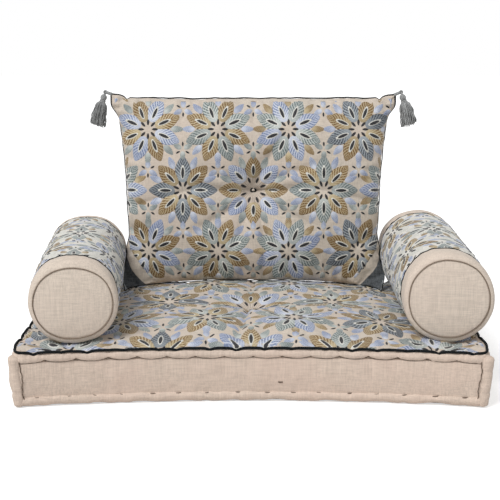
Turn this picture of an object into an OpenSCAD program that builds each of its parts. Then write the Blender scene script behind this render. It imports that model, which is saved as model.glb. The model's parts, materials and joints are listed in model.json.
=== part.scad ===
/* [Seat pad] */
// Width of the seat pad over its corner rolls
seat_w = 1000; // [860:10:1200]
// Depth of the seat pad over its corner rolls
seat_d = 710; // [640:10:900]
// Height of the seat pad over its edge rolls
seat_h = 120; // [95:1:160]
// Rise of the crown at the middle of the pad
seat_crown = 42; // [10:1:60]
// How far the middles of the front and rear sides are drawn in
front_bow = 42; // [5:1:60]
// How far the middles of the left and right sides are drawn in
side_bow = 15; // [2:1:40]
// Depth of the dimple under the seat's tuft
seat_tuft_depth = 20; // [5:1:30]
// Distance over which the seat's dimple fades out
seat_tuft_reach = 75; // [40:1:120]

/* [Stitched edge rolls] */
// Radius of an edge roll halfway between two stitches
roll_r = 13; // [9:0.5:17]
// How deep a stitch pulls the roll in
stitch_pull = 2.5; // [0.5:0.1:4]
// Stitches in one straight run of the front and rear rolls
front_stitches = 4; // [2:1:6]
// Stitches in one straight run of the side rolls
side_stitches = 4; // [2:1:6]
// Stitches up a corner roll
corner_stitches = 2; // [1:1:4]
// How far the border between the rolls lies behind their outer line
border_recess = 8; // [3:0.5:11]

/* [Back cushion] */
// Width of the back cushion across its upper ears
back_ear_w = 704; // [640:1:800]
// Width of the back cushion halfway up
back_mid_w = 618; // [560:1:640]
// Width of the back cushion across its lower corners
back_foot_w = 616; // [560:1:640]
// Height of the back cushion at its middle
back_h = 454; // [380:1:600]
// Thickness of the back cushion where it is fullest
back_t = 150; // [100:1:200]
// How far the four corners stand out above and below the middle
back_ear_rise = 9; // [2:1:20]
// Lean of the back cushion from upright, in degrees
back_lean = 7; // [0:0.5:15]
// Distance of the cushion's lower edge ahead of the rear side of the seat
back_setback = 143; // [115:1:205]
// Distance of the cushion's middle to the right of the seat's middle
back_x = 6; // [-20:1:20]
// Depth of the dimple on each face of the back cushion
back_tuft_depth = 34; // [10:1:50]
// Distance over which the back cushion's dimples fade out
back_tuft_reach = 80; // [40:1:140]

/* [Bolsters] */
// Radius of a bolster
bolster_r = 96; // [70:1:110]
// Length of a bolster over its domed ends
bolster_l = 590; // [480:5:620]
// Radius of the seam round an end disc
disc_r = 85; // [55:1:100]
// How far an end disc bulges past its seam
disc_dome = 7; // [4:0.5:14]
// Width of the plain band between an end disc and the sleeve
band_w = 44; // [25:1:80]
// Set-back of the left bolster's front end from the front of the seat
left_setback = 49; // [30:1:60]
// Set-back of the right bolster's front end from the front of the seat
right_setback = 74; // [30:1:85]
// Turn of the left bolster from front to rear, in degrees
left_turn = 4.3; // [0:0.1:6]
// Turn of the right bolster from front to rear, in degrees
right_turn = -0.7; // [-4:0.1:2]
// Free gap between the left bolster and the back cushion
left_gap = 4; // [3:0.5:30]
// Free gap between the right bolster and the back cushion
right_gap = 6; // [3:0.5:30]

/* [Cloth and trim] */
// Thickness of the cover cloth
cover_t = 1.5; // [0.8:0.1:3]
// Radius of the dark piping
piping_r = 3; // [1.5:0.1:4.5]
// Radius of the self-coloured cord round an end disc
cord_r = 1.4; // [0.8:0.1:2]
// Radius of the tufting twine
twine_r = 1.5; // [0.8:0.1:2.5]
// Radius of a tuft's ring of thread, to the middle of the thread
ring_r = 6; // [4:0.5:9]
// Radius of the thread that forms a tuft's ring
thread_r = 1.4; // [0.8:0.1:2]

/* [Tassels] */
// Lean of a hanging tassel away from the cushion, in degrees
tassel_lean = 18; // [0:1:30]
// Radius of a tassel's loop, to the middle of its cord
loop_r = 5; // [3.5:0.5:8]
// Radius of the cord that forms a tassel's loop
loop_cord_r = 1.5; // [0.8:0.1:2]
// Radius of a tassel's head
head_r = 8.5; // [6:0.5:12]
// Height of a tassel's head
head_h = 13; // [9:0.5:18]
// Radius of the yarn binding below a tassel's head
binding_r = 7.5; // [5:0.5:11]
// Height of the yarn binding
binding_h = 7; // [4:0.5:12]
// Length of a tassel's skirt
skirt_l = 58; // [40:1:80]
// Radius of a tassel's skirt at its cut end
skirt_r = 19; // [13:0.5:26]
// Number of flutes round a skirt
skirt_flutes = 12; // [8:1:16]

/* [Hidden] */
$fn = 64;

// Gap left between two soft pieces that rest on each other
rest_gap = 0.4;
// Gap left between two pieces that are sewn together
seam_gap = 0.3;
// Length by which a cut runs past what it cuts
overrun = 1;

linen = "#cdbfae";
embroidered = "#a9a79b";
grey_cotton = "#8d9396";
dark_cord = "#1c1f22";
wadding = "#efeae0";
grey_yarn = "#8b9194";

// Seat pad: the rolls' centre lines run round this rectangle, drawn in at the sides
line_half_w = seat_w / 2 - roll_r;
line_half_d = seat_d / 2 - roll_r;
waist_r = roll_r - stitch_pull;
// The joint between two runs of a roll stands proud of the waist by this share of the pull
joint_share = 0.15;
joint_r = waist_r + joint_share * stitch_pull;
// Steps in the profile from one stitch to the next
swell_steps = 5;
swell_power = 0.7;
corner_share_x = 1 - (roll_r + seam_gap) / line_half_w;
corner_share_y = 1 - (roll_r + seam_gap) / line_half_d;
front_shares = [-corner_share_x, -0.5, 0, 0.5, corner_share_x];
side_shares = [-corner_share_y, -0.34, 0.34, corner_share_y];

// The main block of filling lies inside the rolls, with the folded cloth between
block_half_w = line_half_w - roll_r - cover_t;
block_half_d = line_half_d - roll_r - cover_t;
block_bottom = cover_t;
block_edge_z = seat_h - roll_r / 2;
seat_u_shares = [-1, -0.96, -0.87, -0.74, -0.58, -0.4, -0.22, -0.1, 0, 0.1, 0.22, 0.4, 0.58, 0.74, 0.87, 0.96, 1];
seat_v_shares = [-1, -0.95, -0.82, -0.6, -0.35, -0.13, 0, 0.13, 0.35, 0.6, 0.82, 0.95, 1];
crown_power_across = 1.5;
crown_power_along = 0.5;

// The band of filling between the upper and lower rolls, and its cloth
band_low = 2 * roll_r + seam_gap;
band_high = seat_h - 2 * roll_r - seam_gap;
band_out = roll_r - border_recess;
band_in = band_out - cover_t;

// The piping lies on the upper rolls, outside their highest line
piping_angle = 55;
piping_reach = roll_r + piping_r + seam_gap;
piping_out = piping_reach * cos(piping_angle);
piping_z = seat_h - roll_r + piping_reach * sin(piping_angle);
piping_sides = 8;
corner_turns = [0, 30, 60, 90];
corner_top = piping_z - piping_r - seam_gap;

// Recess under the seat for the lower ring of thread
foot_recess_r = ring_r + thread_r + seam_gap;
foot_recess_h = 2 * thread_r + 2 * seam_gap - cover_t;

// Back cushion
back_y = seat_d / 2 - back_setback;
back_u_shares = [-1, -0.94, -0.8, -0.58, -0.34, -0.13, 0, 0.13, 0.34, 0.58, 0.8, 0.94, 1];
back_v_shares = [-1, -0.92, -0.75, -0.5, -0.2, 0, 0.2, 0.5, 0.75, 0.92, 1];
back_edge_half_t = piping_r;
ear_power = 2.3;
back_swell_power = 0.5;
back_piping_out = piping_r + seam_gap;
back_piping_sides = 6;

// Bolsters
rim_r = bolster_r - disc_r;
rim_turns = [0, 22.5, 45, 67.5, 90];
dome_shares = [0, 0.35, 0.65, 0.85, 1];
rest_half_share = 0.6;
rest_step_share = 0.05;

// Tassels
tassel_exit = 15;
head_r_shares = [0, 0.42, 0.86, 1, 0.94, 0.78, 0];
head_z_shares = [0, 0, -0.24, -0.56, -0.8, -1, -1];
binding_turns = 3;
binding_groove_share = 0.12;
neck_share = 0.36;
flute_share = 0.16;
flute_steps = 6;

// Swell between two stitches: zero at a whole number, one halfway
function swell(t) = pow(abs(sin(180 * t)), swell_power);

// Radius of a roll, t stitches from its end
function roll_radius(t) = waist_r + stitch_pull * swell(t);

// Points along the front side, moved outward by out
function front_line(out) = [
    for (u = front_shares) [u * line_half_w, -line_half_d - out + front_bow * (1 - u * u)]
];

// Points along the right side, moved outward by out
function right_line(out) = [
    for (v = side_shares) [line_half_w + out - side_bow * (1 - v * v), v * line_half_d]
];

// Place across and along the block of filling, as shares from -1 to 1
function seat_u(x, y) = x / (block_half_w - side_bow * (1 - pow(y / block_half_d, 2)));
function seat_v(x, y) = y / (block_half_d - front_bow * (1 - pow(x / block_half_w, 2)));
function rise_share(s, power) = pow(max(0, 1 - s * s), power);
function dimple(d, depth, reach) = depth * exp(-pow(d / reach, 2));

// Height of the filling's top under a point of the seat
function seat_z(x, y) =
    block_edge_z
    + seat_crown * rise_share(seat_u(x, y), crown_power_across) * rise_share(seat_v(x, y), crown_power_along)
    - dimple(norm([x, y]), seat_tuft_depth, seat_tuft_reach);

// Point of the block's top, at shares u and v, raised by lift
function seat_point(u, v, lift) =
    let (x = u * (block_half_w - side_bow * (1 - v * v)), y = v * (block_half_d - front_bow * (1 - u * u)))
    [x, y, seat_z(x, y) + lift];

// Height of a plane through three points, above x and y
function plane_z(a, b, c, x, y) =
    let (n = cross(b - a, c - a)) a.z - (n.x * (x - a.x) + n.y * (y - a.y)) / n.z;

// The last share in a list that s has passed
function passed(shares, s) = max([0, for (i = [1 : len(shares) - 2]) if (shares[i] <= s) i]);

// Height of the filling's facets under a point of the seat
function facet_z(x, y) =
    let (
        u = passed(seat_u_shares, seat_u(x, y)),
        v = passed(seat_v_shares, seat_v(x, y)),
        near = seat_point(seat_u_shares[u], seat_v_shares[v], 0),
        far = seat_point(seat_u_shares[u + 1], seat_v_shares[v + 1], 0),
        behind = (far.x - near.x) * (y - near.y) > (far.y - near.y) * (x - near.x),
        side = behind
            ? seat_point(seat_u_shares[u], seat_v_shares[v + 1], 0)
            : seat_point(seat_u_shares[u + 1], seat_v_shares[v], 0)
    )
    plane_z(near, side, far, x, y);

function seat_grid(lift) = [for (u = seat_u_shares) [for (v = seat_v_shares) seat_point(u, v, lift)]];
function flattened(grid, z) = [for (row = grid) [for (p = row) [p.x, p.y, z]]];

// Closed loop of points in a plane, for the seat's piping
function quarter(x, y, from, r) = [for (a = corner_turns) [x + r * cos(from + a), y + r * sin(from + a)]];
function piping_loop() = concat(
    front_line(piping_out),
    quarter(line_half_w, -line_half_d, -90, piping_out),
    right_line(piping_out),
    quarter(line_half_w, line_half_d, 0, piping_out),
    -front_line(piping_out),
    quarter(-line_half_w, line_half_d, 90, piping_out),
    -right_line(piping_out),
    quarter(-line_half_w, -line_half_d, 180, piping_out)
);

// Outline of the back cushion: across and up, from its middle
function back_side(v) =
    let (end_w = v > 0 ? back_ear_w : back_foot_w)
    back_mid_w / 2 + (end_w - back_mid_w) / 2 * pow(abs(v), ear_power);
function back_end(u) = back_h / 2 + back_ear_rise * pow(abs(u), ear_power);
function back_flat(u, v) = [u * back_side(v), v * back_end(u)];

// Half of the back cushion's thickness at shares u and v
function back_half_t(u, v) =
    let (p = back_flat(u, v))
    back_edge_half_t
    + (back_t / 2 - back_edge_half_t) * rise_share(u, back_swell_power) * rise_share(v, back_swell_power)
    - dimple(norm(p), back_tuft_depth, back_tuft_reach) * rise_share(u, 1) * rise_share(v, 1);

// Point on the cushion's face; face is -1 in front and 1 behind, lift is measured off the filling
function back_point(u, v, face, lift) =
    let (p = back_flat(u, v)) [p.x, face * (back_half_t(u, v) + lift), p.y];
function back_grid(face, lift) = [
    for (u = back_u_shares) [for (v = back_v_shares) back_point(u, v, face, lift)]
];

function reversed(list) = [for (i = [len(list) - 1 : -1 : 0]) list[i]];
function back_outline() = concat(
    [for (u = back_u_shares) back_flat(u, -1)],
    [for (v = back_v_shares) if (abs(v) < 1) back_flat(1, v)],
    [for (u = reversed(back_u_shares)) back_flat(u, 1)],
    [for (v = reversed(back_v_shares)) if (abs(v) < 1) back_flat(-1, v)]
);

// A closed loop, counterclockwise, moved outward by out with mitred corners
function unit(d) = d / norm(d);
function turned(d) = [d.y, -d.x];
function moved_out(loop, out) = [
    for (i = [0 : len(loop) - 1])
        let (
            n = turned(unit(loop[i] - loop[(i + len(loop) - 1) % len(loop)])),
            m = turned(unit(loop[(i + 1) % len(loop)] - loop[i])),
            middle = unit(n + m)
        )
        loop[i] + middle * out / (middle * m)
];
back_loop = moved_out(back_outline(), back_piping_out);

// A point of the leaning cushion, measured from the seat's origin, with the cushion's middle at height z
function back_placed(p, z) = [
    back_x + p.x,
    back_y + back_h / 2 * sin(back_lean) + p.y * cos(back_lean) + p.z * sin(back_lean),
    z - p.y * sin(back_lean) + p.z * cos(back_lean)
];

// Height at which the cushion's middle must lie for one of its points to clear the seat
function back_lift(p, r) =
    let (q = back_placed(p, 0)) facet_z(q.x, q.y) + cover_t + rest_gap + r - q.z;
back_middle_z = max(concat(
    [for (p = back_loop) if (p.y < 0) back_lift([p.x, 0, p.y], piping_r)],
    [for (face = [-1, 1]) for (row = back_grid(face, cover_t)) for (p = row) if (p.z < 0) back_lift(p, 0)]
));

// The bolsters lie beside the cushion's lower corners, on the seat's crown
left_axis_x = back_x - back_foot_w / 2 - back_piping_out - piping_r - left_gap - bolster_r;
right_axis_x = back_x + back_foot_w / 2 + back_piping_out + piping_r + right_gap + bolster_r;
left_y = -seat_d / 2 + left_setback;
right_y = -seat_d / 2 + right_setback;
left_front = [left_axis_x + (back_y - left_y) * tan(left_turn), left_y];
right_front = [right_axis_x + (back_y - right_y) * tan(right_turn), right_y];

// Height of a bolster's axis when it lies on the seat
function bolster_z(front, turn) = max([
    for (s = [0 : rest_step_share : 1]) for (w = [-rest_half_share : rest_step_share : rest_half_share])
        let (
            along = s * bolster_l,
            aside = w * bolster_r,
            x = front.x - along * sin(turn) + aside * cos(turn),
            y = front.y + along * cos(turn) + aside * sin(turn)
        )
        facet_z(x, y) + cover_t + rest_gap + sqrt(bolster_r * bolster_r - aside * aside)
]);

// Profile of a bolster's end, inset by t: the domed disc, then the rounded rim
function dome_line(t) = [for (s = dome_shares) [disc_r * s, t + disc_dome * s * s]];
function rim_line(t) = [
    for (a = rim_turns) [disc_r + (rim_r - t) * sin(a), disc_dome + rim_r - (rim_r - t) * cos(a)]
];
function far_end(list) = [for (p = reversed(list)) [p.x, bolster_l - p.y]];

// Pivots of the tassels, beside the tips of the upper ears
tip = back_loop[len(back_u_shares) + len(back_v_shares) - 2];
pivot_reach = piping_r + loop_r + loop_cord_r + rest_gap;
function tassel_pivot(side) = back_placed(
    [side * (tip.x + pivot_reach * cos(tassel_exit)), 0, tip.y + pivot_reach * sin(tassel_exit)],
    back_middle_z
);
stem_end = loop_r + 2 * loop_cord_r;

echo(back_middle_z = back_middle_z, left_pivot = tassel_pivot(-1), right_pivot = tassel_pivot(1));
echo(left_axis_z = bolster_z(left_front, left_turn), right_axis_z = bolster_z(right_front, right_turn));

// Solid between two grids of points with the same rows and columns
module between(under, over) {
    rows = len(over);
    cols = len(over[0]);
    count = rows * cols;
    function top(i, j) = i * cols + j;
    function low(i, j) = count + top(i, j);
    function quad(a, b, c, d) = [[a, b, c], [a, c, d]];
    points = concat([for (row = over) for (p = row) p], [for (row = under) for (p = row) p]);
    faces = concat(
        [for (i = [0 : rows - 2]) for (j = [0 : cols - 2])
            each quad(top(i, j), top(i, j + 1), top(i + 1, j + 1), top(i + 1, j))],
        [for (i = [0 : rows - 2]) for (j = [0 : cols - 2])
            each quad(low(i, j), low(i + 1, j), low(i + 1, j + 1), low(i, j + 1))],
        [for (i = [0 : rows - 2]) each quad(top(i, 0), top(i + 1, 0), low(i + 1, 0), low(i, 0))],
        [for (i = [0 : rows - 2])
            each quad(top(i + 1, cols - 1), top(i, cols - 1), low(i, cols - 1), low(i + 1, cols - 1))],
        [for (j = [0 : cols - 2]) each quad(top(0, j + 1), top(0, j), low(0, j), low(0, j + 1))],
        [for (j = [0 : cols - 2])
            each quad(top(rows - 1, j), top(rows - 1, j + 1), low(rows - 1, j + 1), low(rows - 1, j))]
    );
    polyhedron(points, faces);
}

// Round cord along a closed loop of points in the XY plane, counterclockwise from above
module loop_cord(loop, r, sides) {
    count = len(loop);
    function after(i) = (i + 1) % count;
    function outward(i) = turned(unit(loop[after(i)] - loop[(i + count - 1) % count]));
    points = [
        for (i = [0 : count - 1]) for (k = [0 : sides - 1])
            let (a = 360 * k / sides, n = outward(i))
            [loop[i].x + r * cos(a) * n.x, loop[i].y + r * cos(a) * n.y, r * sin(a)]
    ];
    faces = [
        for (i = [0 : count - 1]) for (k = [0 : sides - 1])
            let (
                l = (k + 1) % sides,
                a = i * sides + k,
                b = i * sides + l,
                c = after(i) * sides + l,
                d = after(i) * sides + k
            )
            each [[a, b, c], [a, c, d]]
    ];
    polyhedron(points, faces);
}

// Straight run of a stitched roll along +X
module roll_run(run, stitches) {
    steps = stitches * swell_steps;
    rotate([0, 90, 0])
        rotate_extrude()
            polygon(concat(
                [[0, 0]],
                [for (i = [0 : steps]) [roll_radius(i / swell_steps), run * i / steps]],
                [[0, run]]
            ));
}

// Roll along a line of points, with a pulled-in joint at each inner point
module roll_along(line, z, stitches) {
    for (i = [0 : len(line) - 2]) {
        d = line[i + 1] - line[i];
        translate([line[i].x, line[i].y, z])
            rotate([0, 0, atan2(d.y, d.x)])
                roll_run(norm(d), stitches);
    }
    for (i = [1 : len(line) - 2]) {
        d = line[i + 1] - line[i - 1];
        translate([line[i].x, line[i].y, z])
            rotate([0, 90, atan2(d.y, d.x)])
                sphere(r = joint_r);
    }
}

module front_roll(z) color(linen) roll_along(front_line(0), z, front_stitches);
module right_roll(z) color(linen) roll_along(right_line(0), z, side_stitches);

module corner_roll(x, y) {
    steps = corner_stitches * swell_steps;
    color(linen)
        translate([x, y, 0])
            rotate_extrude()
                polygon(concat(
                    [[0, 0]],
                    [for (i = [0 : steps]) [roll_radius(i / swell_steps), corner_top * i / steps]],
                    [[0, corner_top]]
                ));
}

// Band of filling between the rolls, notched at the corners for the corner rolls
module filling_band() {
    front = front_line(band_in);
    right = right_line(band_in);
    notch = [front[len(front) - 1].x, right[0].y];
    translate([0, 0, band_low])
        linear_extrude(band_high - band_low)
            polygon(concat(
                front, [notch], right, [[notch.x, -notch.y]],
                -front, [-notch], -right, [[-notch.x, notch.y]]
            ));
}

module twine_hole(low, high) {
    translate([0, 0, low - overrun])
        cylinder(r = twine_r + seam_gap, h = high - low + 2 * overrun);
}

module seat_filling() {
    top = seat_grid(0);
    color(wadding)
        difference() {
            union() {
                between(flattened(top, block_bottom), top);
                filling_band();
            }
            twine_hole(0, seat_h + seat_crown);
            translate([0, 0, block_bottom - overrun])
                cylinder(r = foot_recess_r, h = foot_recess_h + overrun);
        }
}

module seat_top_cover() {
    color(embroidered)
        difference() {
            between(seat_grid(0), seat_grid(cover_t));
            twine_hole(0, seat_h + seat_crown);
        }
}

module seat_bottom_cover() {
    grid = seat_grid(0);
    rows = len(grid);
    cols = len(grid[0]);
    outline = concat(
        [for (i = [0 : rows - 1]) grid[i][0]],
        [for (j = [1 : cols - 1]) grid[rows - 1][j]],
        [for (i = [rows - 2 : -1 : 0]) grid[i][cols - 1]],
        [for (j = [cols - 2 : -1 : 1]) grid[0][j]]
    );
    color(linen)
        difference() {
            linear_extrude(cover_t) polygon([for (p = outline) [p.x, p.y]]);
            translate([0, 0, -overrun]) cylinder(r = foot_recess_r, h = cover_t + 2 * overrun);
        }
}

module border(outer, inner) {
    color(linen)
        translate([0, 0, band_low])
            linear_extrude(band_high - band_low)
                polygon(concat(outer, reversed(inner)));
}

module front_border() border(front_line(band_out), front_line(band_in));
module right_border() border(right_line(band_out), right_line(band_in));

module seat_piping() {
    color(dark_cord)
        translate([0, 0, piping_z])
            loop_cord(spaced(piping_loop()), piping_r, piping_sides);
}

// The loop without points that lie closer together than the cord is thick
function spaced(loop) = [
    for (i = [0 : len(loop) - 1])
        if (norm(loop[i] - loop[(i + len(loop) - 1) % len(loop)]) > piping_r) loop[i]
];

// Ring of thread lying flat, with its underside at height z
module thread_ring(z) {
    color(dark_cord)
        translate([0, 0, z + thread_r])
            rotate_extrude()
                translate([ring_r, 0]) circle(r = thread_r);
}

// The first share past the middle in a list
function after_zero(shares) = min([for (s = shares) if (s > 0) s]);

// Height at which a ring clears the sloping sides of the seat's dimple
seat_near_u = after_zero(seat_u_shares);
seat_near_v = after_zero(seat_v_shares);
seat_near = max(seat_point(seat_near_u, 0, cover_t).z, seat_point(0, seat_near_v, cover_t).z);
seat_near_d = min(seat_point(seat_near_u, 0, 0).x, seat_point(0, seat_near_v, 0).y);
seat_pit = seat_point(0, 0, cover_t).z;
seat_ring_z = seat_pit + (seat_near - seat_pit) * (ring_r + thread_r) / seat_near_d + seam_gap;
foot_ring_z = seam_gap;

module seat_tuft_twine() {
    color(dark_cord)
        translate([0, 0, foot_ring_z])
            cylinder(r = twine_r, h = seat_ring_z + 2 * thread_r - foot_ring_z);
}

// Puts what is modelled about the cushion's middle in its leaning place
module in_back_place() {
    middle = back_placed([0, 0, 0], back_middle_z);
    translate(middle) rotate([-back_lean, 0, 0]) children();
}

module back_hole() {
    rotate([90, 0, 0]) translate([0, 0, -back_t])
        cylinder(r = twine_r + seam_gap, h = 2 * back_t);
}

module back_filling() {
    color(wadding)
        in_back_place()
            difference() {
                between(back_grid(1, 0), back_grid(-1, 0));
                back_hole();
            }
}

module back_cover(face, cloth) {
    near = back_grid(face, 0);
    far = back_grid(face, cover_t);
    color(cloth)
        in_back_place()
            difference() {
                between(face < 0 ? near : far, face < 0 ? far : near);
                back_hole();
            }
}

module back_piping() {
    color(dark_cord)
        in_back_place()
            rotate([90, 0, 0])
                loop_cord(back_loop, piping_r, back_piping_sides);
}

// Distance from the cushion's mid-plane at which a ring clears the dimple's sides
back_pit = back_half_t(0, 0) + cover_t;
back_near_u = after_zero(back_u_shares);
back_near_v = after_zero(back_v_shares);
back_near = max(back_half_t(back_near_u, 0), back_half_t(0, back_near_v)) + cover_t;
back_near_d = min(back_flat(back_near_u, 0).x, back_flat(0, back_near_v).y);
back_ring_y = back_pit + (back_near - back_pit) * (ring_r + thread_r) / back_near_d + seam_gap;

module back_ring(face) {
    in_back_place() rotate([-90 * face, 0, 0]) thread_ring(back_ring_y);
}

module back_tuft_twine() {
    reach = back_ring_y + 2 * thread_r;
    color(dark_cord)
        in_back_place()
            rotate([90, 0, 0]) translate([0, 0, -reach])
                cylinder(r = twine_r, h = 2 * reach);
}

// Puts what hangs below the origin at a tassel's pivot; side is -1 on the left and 1 on the right
module at_pivot(side) {
    translate(tassel_pivot(side)) rotate([0, -side * tassel_lean, 0]) children();
}

module tassel_loop(side) {
    color(grey_yarn)
        at_pivot(side) {
            rotate([90, 0, 0]) rotate_extrude() translate([loop_r, 0]) circle(r = loop_cord_r);
            translate([0, 0, -stem_end]) cylinder(r = loop_cord_r, h = stem_end - loop_r);
        }
}

module tassel_head(side) {
    color(grey_yarn)
        at_pivot(side)
            translate([0, 0, -stem_end])
                rotate_extrude()
                    polygon([
                        for (i = [0 : len(head_r_shares) - 1])
                            [head_r * head_r_shares[i], head_h * head_z_shares[i]]
                    ]);
}

module tassel_binding(side) {
    steps = binding_turns * swell_steps;
    groove = binding_groove_share * binding_r;
    color(grey_yarn)
        at_pivot(side)
            translate([0, 0, -stem_end - head_h - binding_h])
                rotate_extrude()
                    polygon(concat(
                        [[0, 0]],
                        [for (i = [0 : steps])
                            [binding_r - groove + groove * swell(i / swell_steps), binding_h * i / steps]],
                        [[0, binding_h]]
                    ));
}

module tassel_skirt(side) {
    steps = skirt_flutes * flute_steps;
    color(grey_yarn)
        at_pivot(side)
            translate([0, 0, -stem_end - head_h - binding_h - skirt_l])
                linear_extrude(skirt_l, scale = neck_share)
                    polygon([
                        for (i = [0 : steps - 1])
                            let (
                                a = 360 * i / steps,
                                r = skirt_r * (1 - flute_share * pow(sin(skirt_flutes * a / 2), 2))
                            )
                            [r * cos(a), r * sin(a)]
                    ]);
}

// Puts what is revolved about +Z from the origin in a bolster's place, with its front end first
module in_bolster_place(side) {
    front = side < 0 ? left_front : right_front;
    turn = side < 0 ? left_turn : right_turn;
    translate([front.x, front.y, bolster_z(front, turn)])
        rotate([0, 0, turn])
            rotate([-90, 0, 0])
                children();
}

// Turns a piece of the front end round to the rear end
module at_end(rear) {
    if (rear) translate([0, 0, bolster_l]) mirror([0, 0, 1]) children();
    else children();
}

module bolster_filling(side) {
    line = concat(dome_line(cover_t), rim_line(cover_t));
    color(wadding)
        in_bolster_place(side)
            rotate_extrude()
                polygon(concat(line, far_end(line)));
}

module bolster_sleeve(side) {
    low = disc_dome + band_w;
    color(embroidered)
        in_bolster_place(side)
            translate([0, 0, low])
                rotate_extrude()
                    translate([bolster_r - cover_t, 0]) square([cover_t, bolster_l - 2 * low]);
}

module bolster_band(side, rear) {
    end = disc_dome + band_w;
    color(linen)
        in_bolster_place(side)
            at_end(rear)
                rotate_extrude()
                    polygon(concat(
                        rim_line(0),
                        [[bolster_r, end], [bolster_r - cover_t, end]],
                        reversed(rim_line(cover_t))
                    ));
}

module bolster_disc(side, rear) {
    color(linen)
        in_bolster_place(side)
            at_end(rear)
                rotate_extrude()
                    polygon(concat(dome_line(0), reversed(dome_line(cover_t))));
}

module bolster_cord(side, rear) {
    color(linen)
        in_bolster_place(side)
            at_end(rear)
                rotate_extrude()
                    translate([disc_r, disc_dome - cord_r - seam_gap]) circle(r = cord_r);
}

seat_filling();
seat_top_cover();
seat_bottom_cover();
front_border();  // seat_border_front
mirror([0, 1, 0]) front_border();  // seat_border_rear
mirror([1, 0, 0]) right_border();  // seat_border_left
right_border();  // seat_border_right
front_roll(seat_h - roll_r);  // seat_top_roll_front
mirror([0, 1, 0]) front_roll(seat_h - roll_r);  // seat_top_roll_rear
mirror([1, 0, 0]) right_roll(seat_h - roll_r);  // seat_top_roll_left
right_roll(seat_h - roll_r);  // seat_top_roll_right
front_roll(roll_r);  // seat_bottom_roll_front
mirror([0, 1, 0]) front_roll(roll_r);  // seat_bottom_roll_rear
mirror([1, 0, 0]) right_roll(roll_r);  // seat_bottom_roll_left
right_roll(roll_r);  // seat_bottom_roll_right
corner_roll(-line_half_w, -line_half_d);  // seat_corner_roll_front_left
corner_roll(line_half_w, -line_half_d);  // seat_corner_roll_front_right
corner_roll(-line_half_w, line_half_d);  // seat_corner_roll_rear_left
corner_roll(line_half_w, line_half_d);  // seat_corner_roll_rear_right
seat_piping();
seat_tuft_twine();
thread_ring(seat_ring_z);  // seat_tuft_ring_top
thread_ring(foot_ring_z);  // seat_tuft_ring_bottom
back_filling();
back_cover(-1, embroidered);  // back_front_cover
back_cover(1, grey_cotton);  // back_rear_cover
back_piping();
back_tuft_twine();
back_ring(-1);  // back_tuft_ring_front
back_ring(1);  // back_tuft_ring_rear
tassel_loop(-1);  // tassel_left_loop
tassel_head(-1);  // tassel_left_head
tassel_binding(-1);  // tassel_left_binding
tassel_skirt(-1);  // tassel_left_skirt
tassel_loop(1);  // tassel_right_loop
tassel_head(1);  // tassel_right_head
tassel_binding(1);  // tassel_right_binding
tassel_skirt(1);  // tassel_right_skirt
bolster_filling(-1);  // bolster_left_filling
bolster_sleeve(-1);  // bolster_left_sleeve
bolster_band(-1, false);  // bolster_left_front_band
bolster_band(-1, true);  // bolster_left_rear_band
bolster_disc(-1, false);  // bolster_left_front_disc
bolster_disc(-1, true);  // bolster_left_rear_disc
bolster_cord(-1, false);  // bolster_left_front_cord
bolster_cord(-1, true);  // bolster_left_rear_cord
bolster_filling(1);  // bolster_right_filling
bolster_sleeve(1);  // bolster_right_sleeve
bolster_band(1, false);  // bolster_right_front_band
bolster_band(1, true);  // bolster_right_rear_band
bolster_disc(1, false);  // bolster_right_front_disc
bolster_disc(1, true);  // bolster_right_rear_disc
bolster_cord(1, false);  // bolster_right_front_cord
bolster_cord(1, true);  // bolster_right_rear_cord
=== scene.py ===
import json
import math
import random

import bmesh
import bpy
import numpy as np
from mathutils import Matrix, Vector, noise
from mathutils.bvhtree import BVHTree

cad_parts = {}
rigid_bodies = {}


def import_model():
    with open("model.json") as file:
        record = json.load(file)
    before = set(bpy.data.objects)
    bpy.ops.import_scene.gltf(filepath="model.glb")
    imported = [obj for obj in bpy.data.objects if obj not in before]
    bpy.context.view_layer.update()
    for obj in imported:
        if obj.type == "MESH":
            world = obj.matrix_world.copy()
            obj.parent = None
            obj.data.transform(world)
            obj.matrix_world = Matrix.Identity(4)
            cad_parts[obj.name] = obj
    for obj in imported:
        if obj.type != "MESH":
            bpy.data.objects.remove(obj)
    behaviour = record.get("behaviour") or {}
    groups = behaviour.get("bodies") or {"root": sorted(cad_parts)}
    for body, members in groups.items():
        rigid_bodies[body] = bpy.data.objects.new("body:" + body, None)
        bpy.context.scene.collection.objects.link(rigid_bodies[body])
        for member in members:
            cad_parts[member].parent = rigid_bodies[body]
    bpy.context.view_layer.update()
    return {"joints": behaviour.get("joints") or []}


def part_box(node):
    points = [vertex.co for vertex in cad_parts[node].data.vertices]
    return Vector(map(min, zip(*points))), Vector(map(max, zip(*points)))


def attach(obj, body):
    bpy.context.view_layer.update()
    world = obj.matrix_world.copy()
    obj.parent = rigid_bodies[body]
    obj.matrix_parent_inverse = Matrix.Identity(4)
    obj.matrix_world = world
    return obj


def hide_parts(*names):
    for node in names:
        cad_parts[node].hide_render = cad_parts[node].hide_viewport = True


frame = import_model()
scene = bpy.context.scene

# Camera: place, point looked at, and lens on a sensor 36 mm wide
CAMERA_PLACE = (-0.002, -2.725, 0.795)
CAMERA_TARGET = (-0.002, 0.0, 0.268)
CAMERA_LENS = 86.4
SENSOR_WIDTH = 36

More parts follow.
